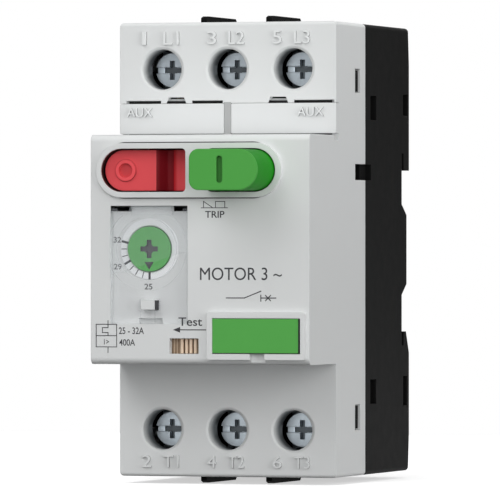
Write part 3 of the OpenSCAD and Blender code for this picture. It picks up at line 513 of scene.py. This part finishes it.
class MarkLooks(bpy.types.PropertyGroup):
    """Sizes and colours of the printed and raised marks."""

    ink: bpy.props.FloatVectorProperty(
        name="Ink", description="Colour of the printed marks", subtype="COLOR",
        default=(0.045, 0.045, 0.05), min=0.0, max=1.0)
    ink_depth: bpy.props.FloatProperty(
        name="Ink depth", description="Thickness of the printed marks", unit="LENGTH",
        default=0.02 * MM, min=0.005 * MM, max=0.1 * MM)
    line: bpy.props.FloatProperty(
        name="Line", description="Width of the printed lines", unit="LENGTH",
        default=0.2 * MM, min=0.1 * MM, max=0.5 * MM)
    raised: bpy.props.FloatProperty(
        name="Raised", description="Height of the raised letters", unit="LENGTH",
        default=0.5 * MM, min=0.1 * MM, max=0.6 * MM)


class MetalLooks(bpy.types.PropertyGroup):
    """Colours of the metal parts."""

    screw: bpy.props.FloatVectorProperty(
        name="Screw", description="Colour of the zinc plated screws", subtype="COLOR",
        default=(0.42, 0.47, 0.51), min=0.0, max=1.0)
    steel: bpy.props.FloatVectorProperty(
        name="Steel", description="Colour of the plain steel parts", subtype="COLOR",
        default=(0.50, 0.50, 0.52), min=0.0, max=1.0)
    copper: bpy.props.FloatVectorProperty(
        name="Copper", description="Colour of the conductors", subtype="COLOR",
        default=(0.78, 0.42, 0.26), min=0.0, max=1.0)


class StageLooks(bpy.types.PropertyGroup):
    """Light and floor of the stage."""

    floor: bpy.props.FloatVectorProperty(
        name="Floor", description="Colour of the floor", subtype="COLOR",
        default=(0.92, 0.92, 0.92), min=0.0, max=1.0)
    light: bpy.props.FloatProperty(
        name="Light", description="Strength of all lights together", default=1.0, min=0.1, max=4.0)


# ---------------------------------------------------------------- housing

class BREAKER_OT_front_cover(bpy.types.Operator):
    """Grey moulded shell with rounded edges, painted shadow in the button well, in two slots below the
    buttons and in the accessory pockets, and painted shade in the terminal openings
    """

    bl_idname = "breaker.front_cover"
    bl_label = "Front cover"

    def execute(self, context):
        looks = context.scene.breaker_housing
        grey = moulded("cover_grey", looks.grey, looks.roughness, looks.grain, looks.edge, 0.012, 0.35)
        across, depth, up = grey.axes()
        past = grey.maths("ABSOLUTE", across - WELL_X) - WELL_HALF
        past = grey.maths("MAXIMUM", past, 0.0)
        lift = up - BUTTON_Z
        inside = 1 - grey.rise(grey.maths("SQRT", past * past + lift * lift), 5.5 * MM, 5.6 * MM)
        # Painted shadow: behind the bezel, inside the button well, the grey is painted near black.
        painted_deep_shadow = inside * grey.rise(depth, BEZEL_Y + 0.25 * MM, BEZEL_Y + 0.5 * MM)
        # Painted shadow in two slots below the buttons.
        slots = grey.within(up, 7.45 * MM, 8.9 * MM, 0.1 * MM)
        slots = slots * grey.rise(depth, PANEL_Y + 0.15 * MM, PANEL_Y + 0.3 * MM)
        left = grey.within(across, -18.9 * MM, -14.6 * MM, 0.1 * MM)
        right = grey.within(across, -5.9 * MM, -2.3 * MM, 0.1 * MM)
        painted_deep_shadow = grey.maths("MAXIMUM", painted_deep_shadow, slots * (left + right))
        # Painted shadow in the accessory pockets, behind the covers' faces.
        pockets = grey.within(grey.maths("ABSOLUTE", across), 0.6 * MM, 21.2 * MM, 0.1 * MM)
        pockets = pockets * grey.within(up, 22.6 * MM, 29.5 * MM, 0.05 * MM)
        pockets = pockets * grey.rise(depth, FACE_Y + 0.1 * MM, FACE_Y + 0.3 * MM)
        painted_deep_shadow = grey.maths("MAXIMUM", painted_deep_shadow, pockets)
        aside = grey.maths("ABSOLUTE", across)
        aside = grey.maths("MINIMUM", aside, grey.maths("ABSOLUTE", aside - SCREW_X))
        above = grey.maths("ABSOLUTE", up) - SCREW_Z
        away = grey.maths("SQRT", aside * aside + above * above)
        # Painted shade in the terminal openings, darker with depth.
        painted_well_shade = 1 - grey.rise(away, 4.1 * MM, 4.2 * MM)
        painted_well_shade = painted_well_shade * grey.rise(depth, FACE_Y + 0.2 * MM, FACE_Y + 4.0 * MM)
        rim = grey.rise(away, 3.9 * MM, 4.6 * MM)
        fine = grey.noise(0.22 * MM, 3.0)
        grey.bump(fine * 0.35 + grey.noise(14 * MM, 1.0) * 2.0 + rim * 16, looks.grain, looks.edge)
        web = 1 - grey.rise(grey.maths("ABSOLUTE", across), 0.7 * MM, 0.8 * MM)
        web = web * grey.within(up, 22.6 * MM, 29.2 * MM, 0.05 * MM)
        flow = grey.mix(grey.noise(9 * MM), shade(looks.grey, 0.99), shade(looks.grey, 1.01))
        # From here flow carries the flow marks and the painted shade of the terminal openings.
        flow = grey.mix(painted_well_shade * 0.93, flow, (0.01, 0.01, 0.01))
        flow = grey.mix(web * 0.5, flow, (0.1, 0.1, 0.1))
        grey.colour(grey.mix(painted_deep_shadow, flow, (0.006, 0.006, 0.006)))
        dress("front_cover", grey)
        return {"FINISHED"}


class BREAKER_OT_base_housing(bpy.types.Operator):
    """Black moulded base with rounded edges"""

    bl_idname = "breaker.base_housing"
    bl_label = "Base housing"

    def execute(self, context):
        looks = context.scene.breaker_housing
        black = moulded("base_black", looks.black, 0.6, looks.grain, looks.edge, 0.25, 0.05)
        dress("base_housing", black)
        return {"FINISHED"}


class BREAKER_OT_accessory_covers(bpy.types.Operator):
    """Flush plates over the two accessory pockets, with raised letters"""

    bl_idname = "breaker.accessory_covers"
    bl_label = "Accessory covers"

    def execute(self, context):
        raised = context.scene.breaker_marks.raised
        for side, x in (("left", (-20.9, -15.6)), ("right", (14.6, 20.0))):
            node = "accessory_cover_" + side
            dress(node, grey_finish())
            name = "accessory_letters_" + side
            mesh = lettering_mesh(name, "AUX", x, (26.3, 28.1), 0.0, FACE_Y - raised, FACE_Y + 0.1 * MM)
            add_piece(name, mesh, letter_finish(), node)
        return {"FINISHED"}


# ---------------------------------------------------------------- buttons

class BREAKER_OT_start_button(bpy.types.Operator):
    """Green start button: paler lit front, painted shade on its sides and in its sunken bar"""

    bl_idname = "breaker.start_button"
    bl_label = "Start button"

    def execute(self, context):
        looks = context.scene.breaker_buttons
        grain = context.scene.breaker_housing.grain
        front = START_BOX[0].y
        green = moulded("start_green", looks.start_front, 0.5, grain * 0.4, 0.4 * MM, 0.02, 0.08)
        across, depth, up = green.axes()
        # Painted shade: the sides behind the front take a shaded copy of the green.
        side = green.rise(depth, front + 0.3 * MM, front + 0.6 * MM)
        # Painted shade in the sunken bar.
        bar = green.within(across, START_BOX[0].x + 5 * MM, START_BOX[0].x + 8 * MM, 0.1 * MM)
        bar = bar * green.within(up, BUTTON_Z - 3 * MM, BUTTON_Z + 3 * MM, 0.1 * MM)
        painted_sunk_shade = bar * green.rise(depth, front + 0.25 * MM, front + 0.65 * MM)
        body = green.mix(side, looks.start_front, looks.start_side_painted_shade)
        green.colour(green.mix(painted_sunk_shade, body, shade(looks.start_front, 0.5)))
        dress("start_button", green)
        return {"FINISHED"}


class BREAKER_OT_stop_button(bpy.types.Operator):
    """Red stop button: paler lit front, painted shade on its sides and in the dish's hollow, a painted
    highlight on the raised ring with painted shade at its edge and inside it, and painted light on the
    dish's rising end
    """

    bl_idname = "breaker.stop_button"
    bl_label = "Stop button"

    def execute(self, context):
        looks = context.scene.breaker_buttons
        grain = context.scene.breaker_housing.grain
        front = STOP_BOX[0].y + RING_RISE
        red = moulded("stop_red", looks.stop_front, 0.5, grain * 0.4, 0.3 * MM, 0.02, 0.1)
        across, depth, _ = red.axes()
        # Painted shade: the sides behind the front take a shaded copy of the red.
        side = red.rise(depth, front + 0.2 * MM, front + 0.9 * MM)
        away = red.radius(STOP_BOX[0].x + STOP_RING_IN, BUTTON_Z)
        # Painted highlight on the raised ring, painted shade at its outer edge and on the lower centre
        # inside it.
        ring = red.within(away, 1.35 * MM, 2.2 * MM, 0.08 * MM)
        painted_disc_shade = 1 - red.rise(away, 1.2 * MM, 1.45 * MM)
        rim = red.within(away, 2.0 * MM, 2.35 * MM, 0.12 * MM)
        body = red.mix(side, looks.stop_front, looks.stop_side_painted_shade)
        body = red.mix(ring * (1 - side), body, shade(looks.stop_front, 1.12))
        body = red.mix(rim * 0.45, body, shade(looks.stop_front, 0.6))
        body = red.mix(painted_disc_shade * 0.6, body, shade(looks.stop_front, 0.55))
        end = STOP_BOX[1].x
        # Painted light on the rising end of the dish.
        rear = red.rise(across, end - 3.6 * MM, end - 2.6 * MM)
        body = red.mix(rear, body, shade(looks.stop_front, 0.95))
        # Painted shade on the steep wall of the dish.
        painted_valley_shade = red.within(across, end - 6.5 * MM, end - 3.5 * MM, 0.15 * MM)
        red.colour(red.mix(painted_valley_shade * 0.8, body, (0.13, 0.006, 0.012)))
        dress("stop_button", red)
        return {"FINISHED"}


# ---------------------------------------------------------------- dial

class BREAKER_OT_setting_dial(bpy.types.Operator):
    """Green dial with painted shade in its cross recess, pointer and centre"""

    bl_idname = "breaker.setting_dial"
    bl_label = "Setting dial"

    def execute(self, context):
        looks = context.scene.breaker_dial
        ink = context.scene.breaker_marks.ink
        front = DIAL_BOX[0].y
        green = moulded("dial_green", looks.dial, 0.4, 0.01 * MM, 0.08 * MM)
        across, depth, up = green.axes()
        # Painted shade on the recessed cross and pointer, and on a small diamond at the centre.
        painted_sunk_shade = green.rise(depth, front + 0.08 * MM, front + 0.2 * MM)
        inside = 1 - green.rise(green.radius(DIAL_X, DIAL_Z), 4.15 * MM, 4.25 * MM)
        flow = green.mix(green.noise(3 * MM), shade(looks.dial, 0.95), shade(looks.dial, 1.05))
        corner = green.maths("ABSOLUTE", across - DIAL_X) + green.maths("ABSOLUTE", up - DIAL_Z)
        dark = green.maths("MAXIMUM", painted_sunk_shade * inside, 1 - green.rise(corner, 1.35 * MM, 1.45 * MM))
        green.colour(green.mix(dark, flow, shade(ink, 1.7)))
        dress("setting_dial", green)
        return {"FINISHED"}


class BREAKER_OT_dial_scale(bpy.types.Operator):
    """Pale ring with ticks and numbers in the recess behind the dial"""

    bl_idname = "breaker.dial_scale"
    bl_label = "Dial scale"

    def execute(self, context):
        looks = context.scene.breaker_dial
        ring = looks.scale_radius
        inner = 4.7 * MM
        front = RECESS_Y - SCALE_THICKNESS
        edge = 0.06 * MM
        pale = moulded("scale_white", looks.scale, 0.45, 0.01 * MM, 0.05 * MM, 0.015)
        profile = [(inner, RECESS_Y + edge), (inner, front), (ring - edge, front),
                   (ring, front + edge), (ring, RECESS_Y + edge)]
        add_piece("scale_ring", turned_mesh("scale_ring", DIAL_X, DIAL_Z, profile), pale,
                  "housing")
        thin = []
        thick = []
        for step in range(SCALE_TICKS):
            angle = math.radians(270 - 15 * step)
            reach = [Vector((math.cos(angle), math.sin(angle))) * radius for radius in (4.75, 5.75)]
            points = [(DIAL_X / MM + point.x, DIAL_Z / MM + point.y) for point in reach]
            if step in NUMBERED_TICKS:
                thick += stroke(points, 0.44 * MM)
            else:
                thin += stroke(points, 0.17 * MM)
        mesh = prism_mesh("scale_ticks", thin + thick, front - 0.02 * MM, front + 0.02 * MM)
        add_piece("scale_ticks", mesh, ink_and_shadow_finish(), "housing")
        for number, (x, z) in SCALE_NUMBERS.items():
            name = "scale_number_" + number
            mesh = lettering_mesh(name, number, x, z, 0.012, RECESS_Y - 0.02 * MM, RECESS_Y + 0.02 * MM)
            add_piece(name, mesh, ink_and_shadow_finish(), "housing")
        return {"FINISHED"}


class BREAKER_OT_dial_cover(bpy.types.Operator):
    """Clear hinged cover, with a painted highlight on its raised ring, a painted diagonal reflection
    stripe, and hazier where it is seen from the side
    """

    bl_idname = "breaker.dial_cover"
    bl_label = "Dial cover"

    def execute(self, context):
        looks = context.scene.breaker_dial
        clear = Finish("clear_cover", Specular_IOR_Level=0.2)
        away = clear.radius(DIAL_X, DIAL_Z)
        across, _, up = clear.axes()
        # Painted highlight: the raised ring is shown as a lighter, hazier tint of the cover.
        ring = clear.within(away, 6.1 * MM, 8.3 * MM, 0.25 * MM)
        # Painted reflection: a diagonal stripe, lighter and hazier above its line.
        painted_reflection_band = clear.rise(up - 0.3 * across, 0.35 * MM, 0.5 * MM)
        cloud = clear.noise(7 * MM, 2.0)
        clear.colour(clear.mix(ring, looks.cover, shade(looks.cover, 1.25)))
        clear.roughness(0.12 + 0.1 * cloud)
        opacity = looks.haze + 0.01 * cloud + 0.035 * ring * (0.4 + 0.6 * painted_reflection_band) + 0.05 * painted_reflection_band
        grazing = clear.node("ShaderNodeLayerWeight", {}, {"Blend": 0.35}, "Facing")
        opacity = opacity + 0.55 * grazing * grazing
        clear.feed(clear.surface.inputs["Alpha"], opacity)
        clear.bump(clear.noise(11 * MM, 1.0), 0.02 * MM, 0.15 * MM)
        dress("dial_cover", clear)
        # Painted shadow: a dark sheet in the sealing lug's slot, in the ink's finish.
        outline = [(x * MM, z * MM) for x, z in SEAL_SLOT_SHADOW]
        mesh = prism_mesh("seal_slot_shadow", [outline], PANEL_Y - 0.05 * MM, RECESS_Y)
        add_piece("seal_slot_shadow", mesh, ink_and_shadow_finish(), "housing")
        return {"FINISHED"}


# ---------------------------------------------------------------- small front parts

class BREAKER_OT_test_slider(bpy.types.Operator):
    """Ribbed beige slider, with painted shade between its ribs"""

    bl_idname = "breaker.test_slider"
    bl_label = "Test slider"

    def execute(self, context):
        beige = moulded("slider_beige", (0.72, 0.54, 0.40), 0.45, 0.01 * MM, 0.1 * MM, 0.04)
        across, depth, _ = beige.axes()
        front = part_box("test_slider")[0].y
        # Painted shade: deeper surfaces between the ribs take a dark brown shaded copy of the beige, in
        # stripes across the ribs.
        low = beige.rise(depth, front + 0.35 * MM, front + 0.85 * MM)
        painted_rib_shade = beige.maths("SINE", across * (2 * math.pi / (0.62 * MM))) * 0.5 + 0.5
        beige.colour(beige.mix(low * (0.5 + 0.5 * painted_rib_shade), (0.84, 0.66, 0.50), (0.20, 0.125, 0.07)))
        dress("test_slider", beige)
        return {"FINISHED"}


class BREAKER_OT_marking_plate(bpy.types.Operator):
    """Plain green marking plate, with painted shade along its right and bottom edges"""

    bl_idname = "breaker.marking_plate"
    bl_label = "Marking plate"

    def execute(self, context):
        green = moulded("plate_green", (0.075, 0.36, 0.065), 0.5, 0.015 * MM, 0.12 * MM)
        across, _, up = green.axes()
        # Painted shade along the plate's right and bottom edges.
        edge = green.rise(across, 20.38 * MM, 20.48 * MM)
        edge = green.maths("MAXIMUM", edge, 1 - green.rise(up, -20.2 * MM, -20.12 * MM))
        flow = green.mix(green.noise(6 * MM), (0.083, 0.40, 0.068), (0.09, 0.42, 0.072))
        green.colour(green.mix(edge, flow, (0.01, 0.03, 0.01)))
        dress("marking_plate", green)
        return {"FINISHED"}


# ---------------------------------------------------------------- terminals

class BREAKER_OT_terminal_screws(bpy.types.Operator):
    """Zinc plated screws, with a painted highlight in the slot and painted shade in the cross"""

    bl_idname = "breaker.terminal_screws"
    bl_label = "Terminal screws"

    def execute(self, context):
        looks = context.scene.breaker_metals
        zinc = metal("screw_zinc", looks.screw, 0.34, (1.0, 1.0, 5.0))
        _, depth, _ = zinc.axes()
        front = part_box("terminal_screw_l1")[0].y
        # Painted highlight on the slot's floor and painted shade in the deeper cross.
        slot = zinc.rise(depth, front + 0.9 * MM, front + 1.0 * MM)
        cross = zinc.rise(depth, front + 1.15 * MM, front + 1.25 * MM)
        tarnish = zinc.mix(zinc.noise(1.5 * MM), shade(looks.screw, 0.8), shade(looks.screw, 1.1))
        body = zinc.mix(slot, tarnish, shade(looks.screw, 1.7))
        zinc.colour(zinc.mix(cross, body, shade(looks.screw, 0.2)))
        for name in LINES + LOADS:
            dress("terminal_screw_" + name, zinc)
        return {"FINISHED"}


class BREAKER_OT_clamp_cages(bpy.types.Operator):
    """Folded steel cages under the screws"""

    bl_idname = "breaker.clamp_cages"
    bl_label = "Clamp cages"

    def execute(self, context):
        looks = context.scene.breaker_metals
        steel = metal("cage_steel", looks.screw, 0.38, (1.0, 6.0, 1.0))
        for name in LINES + LOADS:
            dress("clamp_cage_" + name, steel)
        return {"FINISHED"}


class BREAKER_OT_conductors(bpy.types.Operator):
    """Copper bars between the terminals and the contacts"""

    bl_idname = "breaker.conductors"
    bl_label = "Conductors"

    def execute(self, context):
        looks = context.scene.breaker_metals
        copper = metal("conductor_copper", looks.copper, 0.34, (1.0, 1.0, 6.0))
        for pole in POLES:
            dress("line_conductor_%d" % pole, copper)
            dress("load_conductor_%d" % pole, copper)
        return {"FINISHED"}


# ---------------------------------------------------------------- inner works

class BREAKER_OT_contacts(bpy.types.Operator):
    """Contact carrier with its bridges and springs"""

    bl_idname = "breaker.contacts"
    bl_label = "Contacts"

    def execute(self, context):
        looks = context.scene.breaker_metals
        dark = moulded("carrier_dark", (0.06, 0.06, 0.065), 0.5, 0.02 * MM, 0.2 * MM, 0.2)
        copper = metal("bridge_copper", looks.copper, 0.3, (1.0, 1.0, 5.0))
        _, depth, _ = copper.axes()
        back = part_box("contact_bridge_1")[1].y
        tip = copper.rise(depth, back - 0.95 * MM, back - 0.85 * MM)
        copper.colour(copper.mix(tip, looks.copper, (0.82, 0.81, 0.78)))
        wire = metal("spring_wire", looks.steel, 0.3, (1.0, 8.0, 1.0))
        dress("contact_carrier", dark)
        for pole in POLES:
            dress("contact_bridge_%d" % pole, copper)
        dress("contact_springs", wire)
        dress("opening_springs", wire)
        return {"FINISHED"}


class BREAKER_OT_mechanism(bpy.types.Operator):
    """Frame plate, rocker with its pin, trip bar and trip latch"""

    bl_idname = "breaker.mechanism"
    bl_label = "Mechanism"

    def execute(self, context):
        looks = context.scene.breaker_metals
        dark = moulded("frame_dark", (0.045, 0.045, 0.05), 0.5, 0.02 * MM, 0.2 * MM, 0.2)
        cream = moulded("lever_cream", (0.50, 0.46, 0.36), 0.42, 0.015 * MM, 0.15 * MM, 0.05)
        steel = metal("pin_steel", looks.steel, 0.25, (1.0, 1.0, 8.0))
        dress("mechanism_frame", dark)
        dress("trip_bar", cream)
        dress("rocker_lever", cream)
        dress("trip_latch", steel)
        dress("rocker_pin", steel)
        return {"FINISHED"}


class BREAKER_OT_magnets(bpy.types.Operator):
    """Magnet coils, yokes, bobbins and strikers"""

    bl_idname = "breaker.magnets"
    bl_label = "Magnetic releases"

    def execute(self, context):
        looks = context.scene.breaker_metals
        enamel = metal("coil_enamel", (0.55, 0.22, 0.10), 0.28, (1.0, 6.0, 1.0))
        steel = metal("yoke_steel", looks.steel, 0.4, (1.0, 5.0, 1.0))
        black = moulded("bobbin_black", (0.03, 0.03, 0.032), 0.45, 0.02 * MM, 0.15 * MM, 0.2)
        for pole in POLES:
            dress("magnet_coil_%d" % pole, enamel)
            dress("magnet_yoke_%d" % pole, steel)
            dress("striker_%d" % pole, steel)
        dress("coil_bobbins", black)
        return {"FINISHED"}


class BREAKER_OT_thermal_releases(bpy.types.Operator):
    """Bimetal strips in their heater windings"""

    bl_idname = "breaker.thermal_releases"
    bl_label = "Thermal releases"

    def execute(self, context):
        strip = metal("bimetal_strip", (0.52, 0.48, 0.38), 0.4, (1.0, 1.0, 6.0))
        wire = metal("heater_wire", (0.40, 0.36, 0.30), 0.45, (6.0, 1.0, 1.0))
        for pole in POLES:
            dress("bimetal_%d" % pole, strip)
            dress("heater_%d" % pole, wire)
        return {"FINISHED"}


class BREAKER_OT_arc_plates(bpy.types.Operator):
    """Stacks of steel arc plates"""

    bl_idname = "breaker.arc_plates"
    bl_label = "Arc plates"

    def execute(self, context):
        looks = context.scene.breaker_metals
        steel = metal("arc_steel", looks.screw, 0.36, (5.0, 1.0, 1.0))
        dress("arc_plates", steel)
        return {"FINISHED"}


class BREAKER_OT_rail_latch(bpy.types.Operator):
    """Sliding rail latch and its spring"""

    bl_idname = "breaker.rail_latch"
    bl_label = "Rail latch"

    def execute(self, context):
        looks = context.scene.breaker_metals
        cream = moulded("latch_grey", (0.30, 0.31, 0.31), 0.45, 0.02 * MM, 0.25 * MM, 0.05)
        wire = metal("latch_wire", looks.steel, 0.3, (1.0, 1.0, 8.0))
        dress("rail_latch", cream)
        dress("latch_spring", wire)
        return {"FINISHED"}


# ---------------------------------------------------------------- marks

class BREAKER_OT_panel_marks(bpy.types.Operator):
    """Printed symbols and words on the panel"""

    bl_idname = "breaker.panel_marks"
    bl_label = "Panel marks"

    def execute(self, context):
        line = context.scene.breaker_marks.line
        for name, parts in PANEL_SYMBOLS:
            outlines = []
            for share, points in parts:
                outlines += stroke(points, line * share)
            panel_print(name, prism_mesh, outlines)
        arrow = stroke(ARROW_LINE, line)
        arrow.append([(x * MM, z * MM) for x, z in ARROW_HEAD])
        panel_print("mark_test_arrow", prism_mesh, arrow)
        for name, words, x, z, weight in PANEL_WORDS:
            panel_print(name, lettering_mesh, words, x, z, weight)
        return {"FINISHED"}


class BREAKER_OT_terminal_marks(bpy.types.Operator):
    """Raised terminal numbers on the grey cover"""

    bl_idname = "breaker.terminal_marks"
    bl_label = "Terminal marks"

    def execute(self, context):
        raised = context.scene.breaker_marks.raised
        for index, screw in enumerate(LINES + LOADS):
            low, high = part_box("terminal_screw_" + screw)
            x = (low.x + high.x) / 2 / MM
            upper = screw in LINES
            digit = str(2 * (index % 3) + (1 if upper else 2))
            z = (40.6, 43.2) if upper else (-43.2, -40.8)
            wide = 0.8 if digit == "1" else 1.8
            spots = ((digit, (x - 4.1, x - 4.1 + wide)), (screw.upper(), (x + 0.3, x + 3.5)))
            for place, (words, span) in enumerate(spots):
                name = "terminal_mark_%s_%d" % (screw, place)
                mesh = lettering_mesh(name, words, span, z, 0.0, FACE_Y - raised, FACE_Y + 0.1 * MM)
                add_piece(name, mesh, letter_finish(), "housing")
        return {"FINISHED"}


# ---------------------------------------------------------------- stage

def area_light(name, glow, size, place, target):
    """A soft square light of a given brightness, aimed at a target and unseen by the camera."""
    light = bpy.data.lights.new(name, "AREA")
    light.size = size
    light.energy = glow * math.pi * size * size
    obj = bpy.data.objects.new(name, light)
    bpy.context.scene.collection.objects.link(obj)
    obj.location = place
    obj.rotation_euler = (Vector(target) - Vector(place)).to_track_quat("-Z", "Y").to_euler()
    obj.visible_camera = False


class BREAKER_OT_stage(bpy.types.Operator):
    """Pale floor, white surroundings, soft lights and the camera"""

    bl_idname = "breaker.stage"
    bl_label = "Stage"

    def execute(self, context):
        scene = context.scene
        looks = scene.breaker_stage

        floor = Finish("studio_floor", Specular_IOR_Level=0.2, Emission_Strength=0.6)
        floor.feed(floor.surface.inputs["Emission Color"], looks.floor)
        floor.colour(floor.mix(floor.noise(0.3, 2.0), shade(looks.floor, 0.99), looks.floor))
        floor.roughness(0.8 + 0.1 * floor.noise(0.05))
        mesh = bpy.data.meshes.new("floor")
        foot = CAD_BOX[0].z - 0.05 * MM
        corners = [(-0.4, -0.4, foot), (0.4, -0.4, foot), (0.4, 0.3, foot), (-0.4, 0.3, foot)]
        mesh.from_pydata(corners, [], [(0, 1, 2, 3)])
        mesh.materials.append(floor.material)
        ground = bpy.data.objects.new("floor", mesh)
        scene.collection.objects.link(ground)
        ground.visible_diffuse = False

        world = bpy.data.worlds.new("studio")
        world.use_nodes = True
        background = world.node_tree.nodes["Background"]
        background.inputs["Color"].default_value = (1.0, 1.0, 1.0, 1.0)
        background.inputs["Strength"].default_value = 1.0
        world.cycles_visibility.diffuse = False
        world.cycles_visibility.glossy = False
        scene.world = world
        scene.view_settings.view_transform = "Standard"

        for name, glow, size, place in LIGHTS:
            area_light(name, glow * looks.light, size, place, CAMERA_TARGET)

        lens = bpy.data.cameras.new("camera")
        lens.sensor_width = 36.0
        lens.lens = 486.1
        lens.clip_end = 20.0
        camera = bpy.data.objects.new("camera", lens)
        scene.collection.objects.link(camera)
        back = Vector((math.sin(CAMERA_TURN), -math.cos(CAMERA_TURN), 0.0))
        camera.location = Vector(CAMERA_TARGET) + back * CAMERA_DISTANCE
        camera.rotation_euler = (math.radians(90), 0.0, CAMERA_TURN)
        scene.camera = camera
        return {"FINISHED"}


class BREAKER_PT_sidebar(bpy.types.Panel):
    """Lists the pieces in the 3D view's sidebar"""

    bl_label = "Breaker"
    bl_idname = "BREAKER_PT_sidebar"
    bl_space_type = "VIEW_3D"
    bl_region_type = "UI"
    bl_category = "Breaker"

    def draw(self, context):
        column = self.layout.column()
        for operator in OPERATORS:
            column.operator(operator.bl_idname)


GROUPS = {
    "breaker_housing": HousingLooks,
    "breaker_buttons": ButtonLooks,
    "breaker_dial": DialLooks,
    "breaker_marks": MarkLooks,
    "breaker_metals": MetalLooks,
    "breaker_stage": StageLooks,
}
OPERATORS = (
    BREAKER_OT_front_cover,
    BREAKER_OT_base_housing,
    BREAKER_OT_accessory_covers,
    BREAKER_OT_start_button,
    BREAKER_OT_stop_button,
    BREAKER_OT_setting_dial,
    BREAKER_OT_dial_scale,
    BREAKER_OT_dial_cover,
    BREAKER_OT_test_slider,
    BREAKER_OT_marking_plate,
    BREAKER_OT_terminal_screws,
    BREAKER_OT_clamp_cages,
    BREAKER_OT_conductors,
    BREAKER_OT_contacts,
    BREAKER_OT_mechanism,
    BREAKER_OT_magnets,
    BREAKER_OT_thermal_releases,
    BREAKER_OT_arc_plates,
    BREAKER_OT_rail_latch,
    BREAKER_OT_panel_marks,
    BREAKER_OT_terminal_marks,
    BREAKER_OT_stage,
)


def register():
    for group in GROUPS.values():
        bpy.utils.register_class(group)
    for name, group in GROUPS.items():
        setattr(bpy.types.Scene, name, bpy.props.PointerProperty(type=group))
    for operator in OPERATORS:
        bpy.utils.register_class(operator)
    bpy.utils.register_class(BREAKER_PT_sidebar)


def unregister():
    bpy.utils.unregister_class(BREAKER_PT_sidebar)
    for operator in reversed(OPERATORS):
        bpy.utils.unregister_class(operator)
    for name in GROUPS:
        delattr(bpy.types.Scene, name)
    for group in GROUPS.values():
        bpy.utils.unregister_class(group)


def main():
    """Makes every piece in order."""
    register()
    for operator in OPERATORS:
        group, name = operator.bl_idname.split(".")
        getattr(getattr(bpy.ops, group), name)()


if __name__ == "__main__":
    main()
